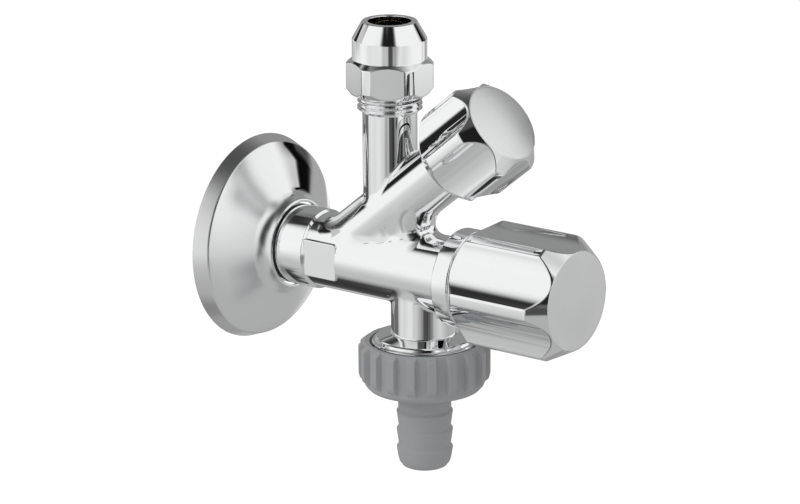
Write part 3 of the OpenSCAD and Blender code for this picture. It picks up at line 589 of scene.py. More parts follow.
@dataclass(frozen=True)
class Metal:
    """A metal finish."""

    name: str
    colour: tuple[float, float, float]
    roughness: float
    grain: float = 0.0
    grain_scale: float = 400.0
    edge: float = 0.0
    haze: float = 0.0

    def material(self) -> bpy.types.Material:
        """Returns the material, which is made at its first use."""
        found = bpy.data.materials.get(self.name)
        if found:
            return found
        made = bpy.data.materials.new(self.name)
        made.use_nodes = True
        shader = Shader(made.node_tree)
        blotches = shader.noise(90, 3)
        rough = self.roughness * 0.8 + blotches * (self.roughness * 0.4)
        colour = shader.mix(blotches, tuple(c * 0.975 for c in self.colour), self.colour)
        if self.haze:
            parts = [shader.node("ShaderNodeSeparateXYZ", {}, {0: shader.place()}, i)
                     for i in (1, 2)]
            clear = parts[0].steps(-3 * MM, 3 * MM) * parts[1].steps(0, 7 * MM)
            rough = rough + (1 - clear) * self.haze
        values = {"Base_Color": colour, "Metallic": 1.0, "Roughness": rough}
        if self.edge:
            values["Normal"] = shader.node(
                "ShaderNodeBevel", {"samples": 4}, {"Radius": self.edge * MM})
        if self.grain:
            grain = shader.noise(self.grain_scale, 4)
            inputs = {"Height": grain, "Strength": self.grain, "Distance": 0.00005}
            values["Normal"] = shader.node("ShaderNodeBump", {}, inputs)
        shader.surface(**values)
        return made


@dataclass(frozen=True)
class Moulded:
    """A plastic or rubber finish."""

    name: str
    colour: tuple[float, float, float]
    roughness: float
    grain: float = 0.15

    def material(self) -> bpy.types.Material:
        """Returns the material, which is made at its first use."""
        found = bpy.data.materials.get(self.name)
        if found:
            return found
        made = bpy.data.materials.new(self.name)
        made.use_nodes = True
        shader = Shader(made.node_tree)
        cloud = shader.noise(60, 3)
        fine = shader.noise(3500, 2)
        colour = shader.mix(cloud, tuple(c * 0.94 for c in self.colour), self.colour)
        bump = shader.node("ShaderNodeBump", {},
                           {"Height": fine, "Strength": self.grain, "Distance": 0.00004})
        shader.surface(Base_Color=colour, Roughness=self.roughness + (cloud - 0.5) * 0.12,
                       Normal=bump)
        return made


CHROME = Metal("chrome", (0.93, 0.935, 0.94), 0.035, edge=0.15)
PLATE = Metal("hazed_chrome", (0.93, 0.935, 0.94), 0.035, edge=0.15, haze=0.22)
# Inside of the escutcheon: unplated metal whose colour is darkened to near black, which also paints the
# shade in the gap round the shank.
UNPLATED_PAINTED_SHADE = Metal("unplated_inside_painted_shade", (0.10, 0.10, 0.105), 0.5, grain=0.2, grain_scale=900)
SATIN = Metal("satin_chrome", (0.83, 0.835, 0.84), 0.32, grain=0.25, grain_scale=5000)
BRASS = Metal("turned_brass", (0.80, 0.60, 0.27), 0.22, grain=0.2, grain_scale=1500)
STEEL = Metal("steel", (0.62, 0.62, 0.63), 0.25, grain=0.15, grain_scale=2000)
GREY = Moulded("grey_plastic", (0.265, 0.285, 0.295), 0.42)
RUBBER = Moulded("black_rubber", (0.03, 0.03, 0.032), 0.6, 0.4)
WHITE = Moulded("white_plastic", (0.78, 0.78, 0.75), 0.45)


def dress(piece: bpy.types.Object, finish: Metal | Moulded) -> None:
    """Puts one finish on a whole piece."""
    material = finish.material()
    if not piece.data.materials:
        piece.data.materials.append(material)
    for slot in piece.material_slots:
        slot.material = material


# ------------------------------------------------------------- sub-assemblies


@dataclass(frozen=True)
class Thread:
    """A pipe thread with rounded crests, cut into a turned form."""

    radius: float
    pitch: float
    start: float
    end: float
    fade: float = 1.2

    def rule(self, angles: np.ndarray, places: np.ndarray, radii: np.ndarray) -> np.ndarray:
        """Returns the radii with the thread's groove wound into them."""
        phase = FULL_TURN * places / self.pitch - angles
        wave = 0.5 + np.arcsin(0.94 * np.cos(phase)) / (2 * math.asin(0.94))
        ends = smooth_step(0, self.fade, places - self.start) * smooth_step(
            0, self.fade, self.end - places)
        depth = 0.64 * self.pitch * wave * ends
        return np.where(np.abs(radii - self.radius) < 0.005, radii - depth, radii)


@dataclass
class Body:
    """The cast and turned body with its three outlets and its threads."""

    barrel_radius: float = 9.75
    barrel_end: float = 65.8
    shank_radius: float = 10.42
    shank_end: float = 22.75
    pad_half: float = 9.5
    pad_length: float = 10.1
    pad_height: float = 9.7
    pad_corner: float = 0.8
    pad_round: float = 0.28
    branch_radius: float = 7.95
    branch_end: float = 48.5
    strut_radius: float = 6.2
    upper_radius: float = 7.02
    upper_thread: float = 40.4
    lower_radius: float = 8.55
    steps: int = 192

    def outsides(self) -> dict[str, Form]:
        """Returns the outer turned forms."""
        inlet = rounded([
            (0, -12), (9.48, -12, 0.1), (10.48, -11, 0.2), (10.48, -0.3), (10.42, 0.02),
            (10.42, 0.15), (9.62, 0.15), (9.62, 2.45), (10.42, 2.45, 0.1),
            (self.shank_radius, self.shank_end - 0.6, 0.12),
            (self.barrel_radius - 0.1, self.shank_end), (0, self.shank_end)])
        barrel = rounded([
            (0, self.shank_end - 1), (self.barrel_radius, self.shank_end - 1),
            (self.barrel_radius, self.barrel_end - 0.4, 0.2),
            (self.barrel_radius - 0.4, self.barrel_end, 0.1), (0, self.barrel_end)])
        branch = rounded([(0, 4), (self.branch_radius, 4),
                          (self.branch_radius, self.branch_end, 0.3), (0, self.branch_end)])
        start = self.upper_thread
        upper = rounded([
            (0, 0), (self.upper_radius, 0), (self.upper_radius, start - 0.3, 0.15),
            (8.33, start + 0.6, 0.1), (8.33, start + 11.5, 0.1), (7.73, start + 12.1, 0.1),
            (0, start + 12.1)])
        lower = rounded([
            (0, -26.8), (12.42, -26.8, 0.1), (13.22, -26.0, 0.1), (13.22, -20.1),
            (12.32, -19.5), (13.5, -19.1), (13.5, -18.75, 0.15), (13.15, -18.4, 0.2),
            (12.7, -18.4, 0.1), (12.45, -17.75, 0.2), (12.0, -17.45, 0.3),
            (self.lower_radius, -16.45, 0.5), (self.lower_radius, 0), (0, 0)])
        top = (Axis.STRUT.value[0] - Axis.BRANCH.value[0]) * math.tan(
            math.radians(Axis.BRANCH.value[1]))
        strut = [(0.0, 0.0), (self.strut_radius, 0.0), (self.strut_radius, top), (0.0, top)]
        return {"barrel": Form(in_steps(barrel, 0.55, [(23, 65.5)], 9), Axis.MAIN),
                "inlet": Form(in_steps(inlet, 0.165, [(-11, -0.3)], 10.4), Axis.MAIN),
                "branch": Form(in_steps(branch, 0.55, [(4, 46)], 7), Axis.BRANCH),
                "strut": Form(in_steps(strut, 0.45, [(6, 20)], 6), Axis.STRUT),
                "lower": Form(in_steps(in_steps(lower, 0.5, [(-14, 0)], 8), 0.165,
                                       [(-26, -20.1)], 13), Axis.LOWER),
                "upper": Form(in_steps(in_steps(upper, 0.5, [(6, 33)], 7), 0.13,
                                       [(start + 0.6, start + 11.5)], 8.3), Axis.UPPER)}

    def casting(self) -> Casting:
        """Returns the bars that the casting's skin flows over."""
        top = (Axis.STRUT.value[0] - Axis.BRANCH.value[0]) * math.tan(
            math.radians(Axis.BRANCH.value[1]))
        return Casting((
            Bar(Axis.MAIN, self.barrel_radius, self.shank_end - 1, self.barrel_end, 0),
            Bar(Axis.STRUT, self.strut_radius, 0, top, 2.6),
            Bar(Axis.BRANCH, self.branch_radius, 4, self.branch_end, 2.0),
            Bar(Axis.LOWER, self.lower_radius, -16.3, 0, 0.9),
            Bar(Axis.UPPER, self.upper_radius, 0, self.upper_thread + 0.5, 0.7)))

    def threads(self) -> dict[str, Thread]:
        """Returns the threads, by the form that they are cut into."""
        start = self.upper_thread
        return {"inlet": Thread(10.48, 1.814, -11, 0.5),
                "lower": Thread(13.22, 1.814, -26, -19.6),
                "upper": Thread(8.33, 1.337, start - 0.5, start + 11.5)}

    def insides(self) -> dict[str, Form]:
        """Returns the turned forms of the water ways."""
        main = [(0, -13), (5.5, -13), (5.5, 38.4), (3.8, 38.4), (3.8, 42), (4.7, 42), (4.7, 41),
                (7, 41), (7, 59.8), (7.8, 59.8), (7.8, 66.8), (0, 66.8)]
        small = [(0, 0), (2.3, 0), (2.3, 19.8), (3.2, 19.8), (3.2, 19), (5, 19), (5, 31.4),
                 (6.2, 31.4), (6.2, 49.5), (0, 49.5)]
        upper = [(0, 16.05), (4.4, 16.05), (4.4, 44), (5.08, 44), (5.08, 50.9), (5.55, 50.9),
                 (6.31, 52.5), (6.31, 53.5), (0, 53.5)]
        lower = [(0, -27.8), (8.45, -27.8), (8.45, -18.2), (5.2, -18.2), (5.2, 0), (0, 0)]
        return {"main": Form(main, Axis.MAIN), "small": Form(small, Axis.BRANCH),
                "upper": Form(upper, Axis.UPPER), "lower": Form(lower, Axis.LOWER)}

    def block(self, name: str, low: Sequence[float], high: Sequence[float]) -> bpy.types.Object:
        """Makes a block between two corners."""
        centre = [(a + b) / 2 for a, b in zip(low, high)]
        bpy.ops.object.select_all(action="DESELECT")
        bpy.ops.mesh.primitive_cube_add(size=1, location=centre)
        piece = named(name)
        with editing(piece):
            bpy.ops.transform.resize(value=[b - a for a, b in zip(low, high)],
                                     center_override=centre)
        bpy.ops.object.transform_apply(location=True, rotation=True, scale=True)
        return piece

    def pads(self) -> bpy.types.Object:
        """Makes the bar whose two ends stand out as the spanner pads."""
        low, high = self.shank_end - 0.2, self.shank_end + self.pad_length
        deep = self.pad_half - self.pad_round
        bar = self.block("pads", (low, -deep, -self.pad_height / 2),
                         (high, deep, self.pad_height / 2))
        mesh = bar.data
        choose(bar, mesh.edges, lambda edge: min(
            mesh.vertices[i].co.x for i in edge.vertices) > high - 0.01 and abs(
            mesh.vertices[edge.vertices[0]].co.z - mesh.vertices[edge.vertices[1]].co.z) < 0.01)
        with keep_selection(bar, "EDGE"):
            bpy.ops.mesh.bevel(offset=self.pad_corner, segments=6, profile=0.5)
        choose(bar, mesh.polygons, lambda face: abs(face.normal.y) > 0.99)
        with keep_selection(bar, "FACE"):
            for low_angle in (0, 30, 60):
                a, b = math.radians(low_angle), math.radians(low_angle + 30)
                bpy.ops.mesh.inset(thickness=self.pad_round * (math.cos(a) - math.cos(b)),
                                   depth=self.pad_round * (math.sin(b) - math.sin(a)))
        return bar

    def build(self) -> bpy.types.Object:
        """Makes the body and returns it."""
        outsides, insides, threads = self.outsides(), self.insides(), self.threads()
        body = placed(turned("valve_body_shape", outsides["barrel"].outline, False, self.steps),
                      Axis.MAIN)
        end = self.shank_end + self.pad_length + 0.15
        for low, high in ((-12, 0.02 - self.pad_half), (self.pad_half - 0.02, 12)):
            combined(body, self.block("mill", (self.shank_end - 0.5, low, -5.85),
                                      (end - 0.3, high, 5.85)), "DIFFERENCE")
        combined(body, self.pads(), "UNION")
        for name in ("branch", "strut", "lower", "upper", "inlet"):
            form = outsides[name]
            bar = turned(name, form.outline, False, self.steps)
            if name in threads:
                shaped(bar, threads[name].rule)
            combined(body, placed(bar, form.axis), "UNION")
        for name, form in insides.items():
            combined(body, placed(turned(name, form.outline, False, 96), form.axis), "DIFFERENCE")
        casting = self.casting()
        skin = casting.settle(body)
        true_normals(body, [*outsides.values(), *insides.values()], casting, skin)
        dress(body, CHROME)
        return done(body, "valve", "chrome_plate", "valve_body")


def choose(piece: bpy.types.Object, parts: Sequence, wanted: Callable[..., bool]) -> None:
    """Selects only those edges or faces of a piece that a test accepts."""
    for group in (piece.data.vertices, piece.data.edges, piece.data.polygons):
        group.foreach_set("select", [False] * len(group))
    for part in parts:
        part.select = wanted(part)


@contextmanager
def keep_selection(piece: bpy.types.Object, mode: str) -> Iterator[None]:
    """Opens a piece in edit mode with what code has selected on it.

    Args:
        piece: the piece.
        mode: EDGE or FACE.
    """
    only(piece)
    tools = bpy.context.scene.tool_settings
    tools.mesh_select_mode = (False, mode == "EDGE", mode == "FACE")
    bpy.ops.object.mode_set(mode="EDIT")
    try:
        yield
    finally:
        bpy.ops.object.mode_set(mode="OBJECT")
        tools.mesh_select_mode = (True, False, False)


@dataclass
class Escutcheon:
    """The loose cover plate against the wall."""

    radius: float = 27.0
    slope: float = 20.0
    dome_radius: float = 48.0
    dome_top: float = 11.35
    cone_radius: float = 21.0
    height: float = 13.5
    wall: float = 0.8
    neck: float = 11.65
    neck_round: float = 4.8

    def side(self, inset: float) -> Outline:
        """Returns one side of the sheet from rim to neck, moved inwards by inset."""
        slope, edge = math.radians(self.slope), self.wall + 0.4
        start = np.array([self.radius - edge * math.cos(slope), -edge * math.sin(slope)])
        along = np.array([-math.sin(slope), math.cos(slope)])
        dome = np.array([0, self.dome_top - self.dome_radius])
        w = float((start - dome) @ along)
        gap = float((start - dome) @ (start - dome)) - (self.dome_radius - edge) ** 2
        middle = start + along * (-w + math.sqrt(w * w - gap))
        q = edge - inset
        on_rim = middle + q * np.array([math.cos(slope), math.sin(slope)])
        up = middle - dome
        up_angle = math.atan2(up[1], up[0])
        lean = math.acos(self.cone_radius / self.dome_radius)
        joint = dome[1] + self.dome_radius * math.sin(lean)
        centre_r = self.neck + self.neck_round
        centre_z = joint + (self.neck_round - (centre_r - self.cone_radius) * math.cos(lean)
                            ) / math.sin(lean)
        bend = self.neck_round + inset
        top = math.pi + math.asin((centre_z - self.height) / bend)
        return [
            (float(on_rim[0] + on_rim[1] * math.tan(slope)), 0.0),
            *arc(middle, q, slope, up_angle, 8)[:-1],
            *arc(dome, self.dome_radius - inset, up_angle, lean, 16),
            *arc((centre_r, centre_z), bend, lean + math.pi, top, 24)]

    def build(self) -> bpy.types.Object:
        """Makes the plate and returns it."""
        outer, inner = self.side(0), self.side(self.wall)
        outline = rounded([*outer[:-1], (*outer[-1], 0.35), (*inner[-1], 0.15),
                           *inner[-2::-1]], True, 4)
        plate = placed(turned("escutcheon_plate_shape", outline, True, 256), Axis.MAIN)
        smoothed(plate, 32)
        dress(plate, PLATE)
        # The near-black inside finish, which is painted shade, goes on the faces towards the wall and
        # the faces towards the axis, the inside of the neck round the shank.
        plate.data.materials.append(UNPLATED_PAINTED_SHADE.material())
        for face in plate.data.polygons:
            out = Vector((0, face.center.y, face.center.z)).normalized()
            face.material_index = int(face.normal.x < -0.1 or face.normal @ out < -0.5)
        return done(plate, "escutcheon_plate", "chrome_plate", "escutcheon")


def smoothed(piece: bpy.types.Object, angle: float) -> None:
    """Shades a piece smooth, apart from edges sharper than an angle in degrees."""
    only(piece)
    bpy.ops.object.shade_smooth_by_angle(angle=math.radians(angle))


@dataclass
class Knob:
    """A hollow-faced hexagonal knob with its splined hub and its front disc."""

    name: str
    nodes: tuple[str, str]
    axis: Axis
    body: str
    back: float
    front: float
    corner: float
    face: float
    disc: float
    back_radius: float
    front_slope: float
    back_slope: float
    turn: float
    corner_angle: float
    cavity: float
    hub: float
    spline_end: float
    spline_radius: float
    screw_hole: float
    recess: float
    dome: float = 0.0
    blend: float = 0.3

    def hollow(self, angles: np.ndarray) -> np.ndarray:
        """Returns the radius of the hollow faces at these angles."""
        edge = math.radians(30 - self.corner_angle)
        half_chord = self.corner * math.sin(edge)
        rise = self.corner * math.cos(edge) - self.face
        radius = (half_chord**2 + rise**2) / (2 * rise)
        centre = self.face + radius
        sixth = math.pi / 3
        off = np.mod(angles - math.radians(self.turn) + sixth / 2, sixth) - sixth / 2
        return centre * np.cos(off) - np.sqrt(
            np.maximum(radius**2 - (centre * np.sin(off)) ** 2, 0))

    def rule(self, angles: np.ndarray, places: np.ndarray, radii: np.ndarray) -> np.ndarray:
        """Returns the knob's radii: hollow faces outside, teeth in the hub."""
        outside = radii > self.disc - 0.03
        cut = soft_min(radii, self.hollow(angles), self.blend)
        teeth = np.cos(12 * angles) > 0.55
        in_hub = (np.abs(radii - self.spline_radius) < 0.02) & (places < self.spline_end + 0.01)
        shaped_radii = np.where(outside, cut, radii)
        return np.where(in_hub & ~teeth, radii - 0.4, shaped_radii)

    def build(self) -> None:
        """Makes the knob and its disc."""
        web = self.spline_end + 1.6
        seat = self.disc - 0.1
        outline = rounded([
            (self.back_radius, self.back, 0.3), (self.corner, self.back + self.back_slope, 1.2),
            (self.corner, self.front - self.front_slope, 1.2), (self.disc, self.front, 0.04),
            (seat, self.front, 0.02), (seat, self.front - 1), (self.recess, self.front - 1),
            (self.recess, web), (self.screw_hole, web), (self.screw_hole, self.spline_end),
            (self.spline_radius, self.spline_end), (self.spline_radius, self.hub),
            (self.cavity, self.hub, 0.4), (self.cavity, self.back, 0.2)], True)
        spans = [(self.back, self.back + self.back_slope + 1),
                 (self.front - self.front_slope - 1, self.front)]
        outline = in_steps(outline, 0.16, spans, self.disc - 0.1)
        outline = in_steps(outline, 2.0, [(self.back, self.front)], self.corner - 0.01)
        knob = turned(self.name + "_shape", outline, True, 360)
        shaped(knob, self.rule)
        placed(knob, self.axis)
        smoothed(knob, 35)
        dress(knob, CHROME)
        done(knob, self.body, "chrome_plate", self.nodes[0])
        rim = seat - 0.03
        skirt = self.recess - 0.05
        under = self.front - 1
        top = [(r, self.front + self.dome * (1 - (r / rim) ** 2))
               for r in np.linspace(0, rim - 0.3, 20)]
        lid = rounded([
            *top, (rim - 0.06, self.front, 0.1), (rim, self.front - 0.08, 0.04), (rim, under),
            (skirt, under), (skirt, web + 2.2), (skirt - 1.2, web + 2.2), (skirt - 1.2, under),
            (0, under)])
        cap = placed(turned(self.name + "_disc", lid, False, 192), self.axis)
        smoothed(cap, 30)
        dress(cap, SATIN)
        done(cap, self.body, "satin_plate", self.nodes[1])


@dataclass
class TrimRing:
    """The chrome ring between the barrel and the main knob."""

    radius: float = 12.7
    back: float = 65.4
    front: float = 70.5

    def build(self) -> None:
        """Makes the ring."""
        outline = rounded([
            (9.8, self.back), (12.3, self.back, 0.1), (self.radius, self.back + 0.4, 0.25),
            (self.radius, self.front - 0.3, 0.2), (self.radius - 0.3, self.front, 0.1),
            (8.86, self.front), (8.86, 68.7), (9.8, 68.7)], True)
        ring = placed(turned("main_trim_ring_shape", outline, True, 192), Axis.MAIN)
        smoothed(ring, 40)
        dress(ring, CHROME)
        done(ring, "valve", "chrome_plate", "main_trim_ring")


@dataclass
class PipeNut:
    """The compression nut on the upper outlet."""

    flats: float = 20.35
    corner: float = 11.1
    bottom: float = 44.15
    hex_top: float = 53.9
    collar: float = 9.55
    collar_top: float = 59.0
    top: float = 63.5
    turn: float = 4.3

    def rule(self, angles: np.ndarray, places: np.ndarray, radii: np.ndarray) -> np.ndarray:
        """Returns the nut's radii: six flats on the lower part."""
        sixth = math.pi / 3
        off = np.mod(angles - math.radians(self.turn) + sixth / 2, sixth) - sixth / 2
        flat = self.flats / 2 / np.cos(off)
        on_hex = (radii > self.collar - 0.3) & (places < self.hex_top + 0.02)
        return np.where(on_hex, soft_min(radii, flat, 0.06), radii)

    def build(self) -> None:
        """Makes the nut."""
        chamfer = (self.corner - self.collar) * 0.85
        outline = rounded([
            (8.38, self.bottom, 0.2), (8.63, self.bottom, 0.05),
            (10.1, self.bottom + 0.9, 0.2),
            (self.corner, self.bottom + 2.2, 0.3), (self.corner, self.hex_top - chamfer, 0.3),
            (self.collar, self.hex_top, 0.2), (self.collar, self.collar_top, 0.35),
            (7.05, self.top - 0.1, 0.15), (6.9, self.top, 0.05), (5.5, self.top, 0.15),
            (5.5, 56.8), (6.56, 54.7), (8.38, 54.7)], True)
        outline = in_steps(outline, 0.1, [(self.bottom, self.bottom + 3),
                                          (self.hex_top - chamfer - 0.6, self.hex_top)], 9.0)
        nut = turned("compression_nut_shape", outline, True, 360)
        shaped(nut, self.rule)
        placed(nut, Axis.UPPER)
        smoothed(nut, 30)
        dress(nut, CHROME)
        done(nut, "pipe_nut", "chrome_plate", "compression_nut")


@dataclass
class HoseOutlet:
    """The grey union nut and the barbed hose tail."""

    top: float = -18.8
    bottom: float = -31.2
    core: float = 15.4
    rib: float = 16.95
    ribs: int = 19
    rib_flat: float = 1.0
    rib_half: float = 1.42
    first_rib: float = -46.5

    def rule(self, angles: np.ndarray, places: np.ndarray, radii: np.ndarray) -> np.ndarray:
        """Returns the union nut's radii, with its ribs."""
        pitch = FULL_TURN / self.ribs
        off = np.mod(angles + pitch / 2, pitch) - pitch / 2
        height = self.rib - self.core
        across = np.interp(np.abs(off) * self.rib, [self.rib_flat, self.rib_half], [height, 0])
        crest = np.interp(places, [self.bottom + 1.9, self.bottom + 2.9, self.bottom + 4.1,
                                   self.top - 1.2, self.top],
                          [0, 0.8 * height, height, height, 0.1])
        outside = radii > self.core - 0.1
        return np.where(outside, radii + np.minimum(crest, across), radii)

    def build(self) -> None:
        """Makes the nut and the hose tail."""
        outline = rounded([
            (7.5, self.bottom, 0.3), (self.core - 1, self.bottom, 0.5),
            (self.core, self.bottom + 1.1, 0.8), (self.core, self.top, 0.1),
            (14.1, self.top, 0.2), (14.1, self.top - 1), (13.27, self.top - 1.4),
            (13.27, -29.6), (7.5, -29.6)], True)
        outline = in_steps(outline, 0.2, [(self.bottom + 1.5, self.top)], self.core - 0.05)
        nut = turned("union_nut_shape", outline, True, self.ribs * 28)
        shaped(nut, self.rule)
        nut.data.transform(Matrix.Rotation(math.radians(self.first_rib), 4, "Z"))
        placed(nut, Axis.LOWER)
        smoothed(nut, 40)
        dress(nut, GREY)
        done(nut, "hose_nut", "grey_plastic", "union_nut")
        barbs: list[tuple] = []
        for crest in (-37.6, -42.5, -47.4):
            barbs += [(6.7, crest + 0.7, 0.15), (7.27, crest, 0.2)]
        tail = rounded([
            (4.6, -28.2, 0.2), (12.92, -28.2, 0.2), (12.92, -29.6, 0.2), (6.85, -29.6),
            (6.85, -36.6, 0.2), *barbs, (6.85, -50.1, 0.6), (6.5, -51.2, 0.5),
            (5.75, -52.2, 0.5), (5.15, -52.5, 0.2), (4.6, -52.5, 0.2)], True)
        piece = placed(turned("hose_nozzle_shape", tail, True, 160), Axis.LOWER)
        smoothed(piece, 50)
        dress(piece, GREY)
        done(piece, "hose_tail", "grey_plastic", "hose_nozzle")


@dataclass(frozen=True)
class Card:
    """A soft-edged studio card far away, given by where it stands in degrees.

    Its shade is the brightness that it shows on screen, from 0 to 1.
    """

    azimuth: float
    elevation: float
    half_width: float
    half_height: float
    turn: float
    softness: float
    shade: float

    def over(self, behind: Socket, azimuth: Socket, elevation: Socket) -> Socket:
        """Returns the brightness of what is behind with this card in front of it."""
        across = (azimuth - self.azimuth).math("WRAP", 180.0, -180.0)
        across = across * math.cos(math.radians(self.elevation))
        up = elevation - self.elevation
        c, s = math.cos(math.radians(self.turn)), math.sin(math.radians(self.turn))
        inside = self.half_width - (across * c + up * s).math("ABSOLUTE")
        inside_up = self.half_height - (up * c - across * s).math("ABSOLUTE")
        cover = inside.steps(-self.softness, self.softness)
        cover = cover * inside_up.steps(-self.softness, self.softness)
        return behind + cover * (self.shade - behind)


CARDS = (
    Card(135.3, 35.1, 35.9, 53.1, -39.6, 6.4, 0.568),
    Card(-177.3, 32.2, 17.0, 25.8, -0.1, 4.0, 0.130),
    Card(-155.4, -33.9, 15.3, 20.6, 112.2, 0.6, 0.332),
    Card(155.7, -50.9, 32.8, 9.9, 18.4, 1.1, 0.210),
    Card(168.9, -66.7, 11.1, 39.0, 63.3, 0.6, 0.610),
    Card(-117.9, -37.7, 32.4, 25.2, 114.8, 12.3, 0.760),
    Card(76.9, 5.2, 4.8, 15.3, 18.9, 1.4, 0.043),
    Card(85.8, 3.4, 3.9, 12.3, 37.3, 2.0, 0.307),
    Card(103.4, -18.2, 24.2, 17.2, -65.1, 4.3, 0.664),
    Card(-57.9, 32.5, 21.1, 38.1, -0.6, 7.3, 0.118),
    Card(-115.8, 89.0, 6.8, 43.8, -14.7, 5.5, 0.265),
    Card(-133.2, -64.9, 12.9, 12.0, 15.7, 3.2, 0.481),
    Card(-124.1, -2.2, 30.7, 10.9, 21.7, 14.3, 0.989),
    Card(-93.7, 1.4, 19.6, 34.5, -22.8, 13.3, 0.909),
    Card(-92.9, -37.8, 1.0, 19.7, -7.6, 7.6, 0.505),
    Card(-51.8, -0.0, 5.2, 31.6, 43.4, 11.2, 0.268),
    Card(158.8, -31.1, 11.1, 25.9, 90.5, 14.3, 0.782),
    Card(106.8, -20.2, 3.6, 12.1, -9.1, 2.6, 1.000),
    Card(158.4, -23.2, 5.8, 20.2, -89.6, 11.8, 0.065),
    Card(149.8, 52.2, 1.0, 2.8, -57.8, 1.0, 0.369),
    Card(175.5, 18.0, 12.4, 3.6, 1.2, 1.5, 0.886),
    Card(-48.1, -3.6, 15.5, 5.1, -63.6, 2.0, 0.148),
    Card(-166.8, -20.7, 10.4, 8.6, 0.5, 1.3, 0.429),
    Card(-65.9, -13.9, 8.0, 1.0, -20.8, 6.2, 0.416),
    Card(-106.4, 13.8, 6.1, 1.1, -4.1, 0.5, 0.147),
    Card(-69.0, 55.3, 7.9, 6.7, -33.4, 3.0, 0.324),
    Card(86.6, 46.2, 2.3, 9.7, 8.2, 1.7, 0.158),
    Card(-0.7, -15.6, 32.7, 7.3, -34.6, 12.9, 0.858),
    Card(-55.9, -15.6, 2.5, 10.7, -55.1, 0.7, 0.510),
    Card(-172.6, 46.2, 7.6, 2.7, 1.1, 6.3, 0.927),
    Card(-158.8, 18.5, 14.2, 6.7, -12.6, 1.3, 0.782),
    Card(-27.2, -20.0, 2.1, 8.6, -2.1, 3.2, 0.514),
    Card(67.3, -11.4, 4.3, 4.6, 25.1, 8.4, 0.814),
    Card(65.7, 47.3, 9.7, 9.2, -10.4, 4.4, 0.893),
    Card(-56.4, -12.5, 6.0, 5.3, 2.0, 3.6, 0.284),
    Card(-60.7, -11.3, 5.7, 5.6, -8.8, 3.4, 0.761),
    Card(-49.8, -12.2, 5.9, 5.9, -0.7, 2.7, 0.301),
    Card(-46.7, -7.2, 5.9, 5.7, 1.3, 3.0, 0.423),
    Card(-41.9, -6.3, 5.9, 5.8, 0.1, 2.9, 0.667),
    Card(-50.0, -13.2, 5.9, 6.0, -0.1, 2.9, 0.302),
)


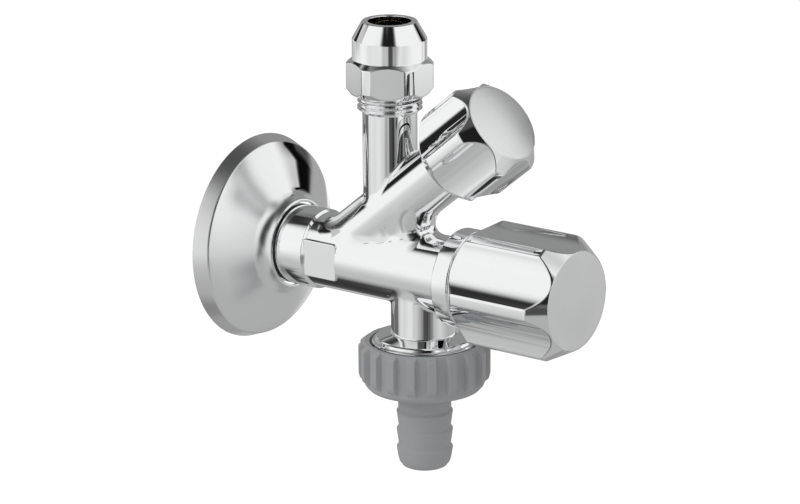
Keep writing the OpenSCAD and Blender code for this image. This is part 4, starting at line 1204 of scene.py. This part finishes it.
@dataclass
class Studio:
    """Camera, floor, world and lamps."""

    eye: tuple[float, float, float] = (0.637017, -0.779763, 0.291317)
    right: tuple[float, float, float] = (0.79977, 0.60029, -0.00478)
    up: tuple[float, float, float] = (-0.16803, 0.23150, 0.95822)
    back: tuple[float, float, float] = (0.57632, -0.76555, 0.28601)
    lens: float = 179.66
    shift: tuple[float, float] = (-0.01375, 0.01832)
    floor_height: float = -0.12
    floor_glow: float = 0.68
    ambient: float = 0.42

    def camera(self) -> None:
        """Adds the camera at the photograph's angle."""
        bpy.ops.object.camera_add()
        camera = bpy.context.object
        turn = Matrix((self.right, self.up, self.back)).transposed()
        camera.matrix_world = Matrix.Translation(self.eye) @ turn.to_4x4()
        camera.data.lens, camera.data.sensor_width = self.lens, 36
        camera.data.shift_x, camera.data.shift_y = self.shift
        bpy.context.scene.camera = camera

    def floor(self) -> None:
        """Adds the pale floor, which the camera sees as white under the valve's shadow."""
        bpy.ops.mesh.primitive_plane_add(size=20, location=(0, 0, self.floor_height))
        floor = named("floor")
        floor.visible_glossy = False
        material = bpy.data.materials.new("pale_floor")
        material.use_nodes = True
        shader = Shader(material.node_tree)
        plain = shader.node("ShaderNodeBsdfDiffuse", {}, {"Color": (0.8, 0.8, 0.8, 1)})
        seen = shader.node("ShaderNodeLightPath", {}, {}, "Is Camera Ray")
        glow = shader.node("ShaderNodeEmission", {},
                           {"Color": (1, 1, 1, 1), "Strength": seen * self.floor_glow})
        both = shader.node("ShaderNodeAddShader", {}, {0: plain, 1: glow})
        shader.node_out("ShaderNodeOutputMaterial", both)
        floor.data.materials.append(material)

    def world(self) -> None:
        """Makes the white studio; metal also shows its grey lower half and its cards."""
        world = bpy.data.worlds.new("studio")
        world.use_nodes = True
        bpy.context.scene.world = world
        shader = Shader(world.node_tree)
        way = shader.node("ShaderNodeTexCoord", {}, {}, "Generated")
        x, y, z = (shader.node("ShaderNodeSeparateXYZ", {}, {0: way}, i) for i in range(3))
        azimuth = y.math("ARCTAN2", x) * math.degrees(1)
        elevation = z.math("ARCSINE") * math.degrees(1)
        shade = 0.702 + elevation.steps(-15.1, -13.5) * 0.274
        for card in CARDS:
            shade = card.over(shade, azimuth, elevation)
        reflected = ((shade + 0.055) / 1.055).power(2.4)
        glossy = shader.node("ShaderNodeLightPath", {}, {}, "Is Glossy Ray")
        clear = shader.node("ShaderNodeLightPath", {}, {}, "Is Transmission Ray")
        camera = shader.node("ShaderNodeLightPath", {}, {}, "Is Camera Ray")
        shown = self.ambient + (camera + clear).clamped() * (1 - self.ambient)
        strength = shown + glossy * (reflected - shown)
        light = shader.node("ShaderNodeBackground", {},
                            {"Color": (1, 1, 1, 1), "Strength": strength})
        shader.node_out("ShaderNodeOutputWorld", light)

    def lamps(self) -> None:
        """Adds one soft lamp."""
        bpy.ops.object.light_add(type="AREA", location=(-0.4, -1.0, 0.75))
        lamp = bpy.context.object
        lamp.data.energy, lamp.data.size = 3, 0.7
        lamp.visible_glossy = False
        lamp.rotation_euler = (Vector((0.05, 0, 0)) - lamp.location).to_track_quat("-Z", "Y").to_euler()

    def build(self) -> None:
        """Makes the whole studio."""
        bpy.context.scene.view_settings.view_transform = "Standard"
        self.camera()
        self.floor()
        self.world()
        self.lamps()


INNER_FINISHES = {
    BRASS: ("compression_olive", "main_bonnet", "main_spindle", "main_plunger",
            "main_washer_screw", "small_bonnet", "small_spindle", "small_plunger",
            "small_washer_screw"),
    RUBBER: ("hose_gasket", "main_bonnet_seal", "main_inner_oring", "main_outer_oring",
             "main_seat_washer", "small_bonnet_seal", "small_inner_oring",
             "small_outer_oring", "small_seat_washer"),
    STEEL: ("check_spring", "main_knob_screw", "small_knob_screw"),
    WHITE: ("inlet_seal_ring", "check_cage", "check_poppet"),
}


def main() -> None:
    """Builds the valve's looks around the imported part."""
    logging.basicConfig(level=logging.INFO, format="%(name)s %(message)s")
    Studio().build()
    Body().build()
    Escutcheon().build()
    TrimRing().build()
    PipeNut().build()
    HoseOutlet().build()
    Knob("main_knob", ("main_knob", "main_knob_cap"), Axis.MAIN, "main_handle", 70.7, 101.4,
         16.2, 12.9, 12.75, 12.7, 4.6, 3.3, 2, 5.1, 9.21, 80.35, 87.95, 3.4, 1.62, 7.688).build()
    Knob("small_knob", ("small_knob", "small_knob_cap"), Axis.BRANCH, "small_handle", 46.8,
         66.7, 13.7, 10.8, 10.45, 10.7, 3.5, 3.6, -3, 6, 8.4, 56.45, 60.85, 2.5, 1.24,
         6.06, 0.9).build()
    for finish, names in INNER_FINISHES.items():
        for name in names:
            dress(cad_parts[name], finish)
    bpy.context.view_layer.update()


if __name__ == "__main__":
    main()
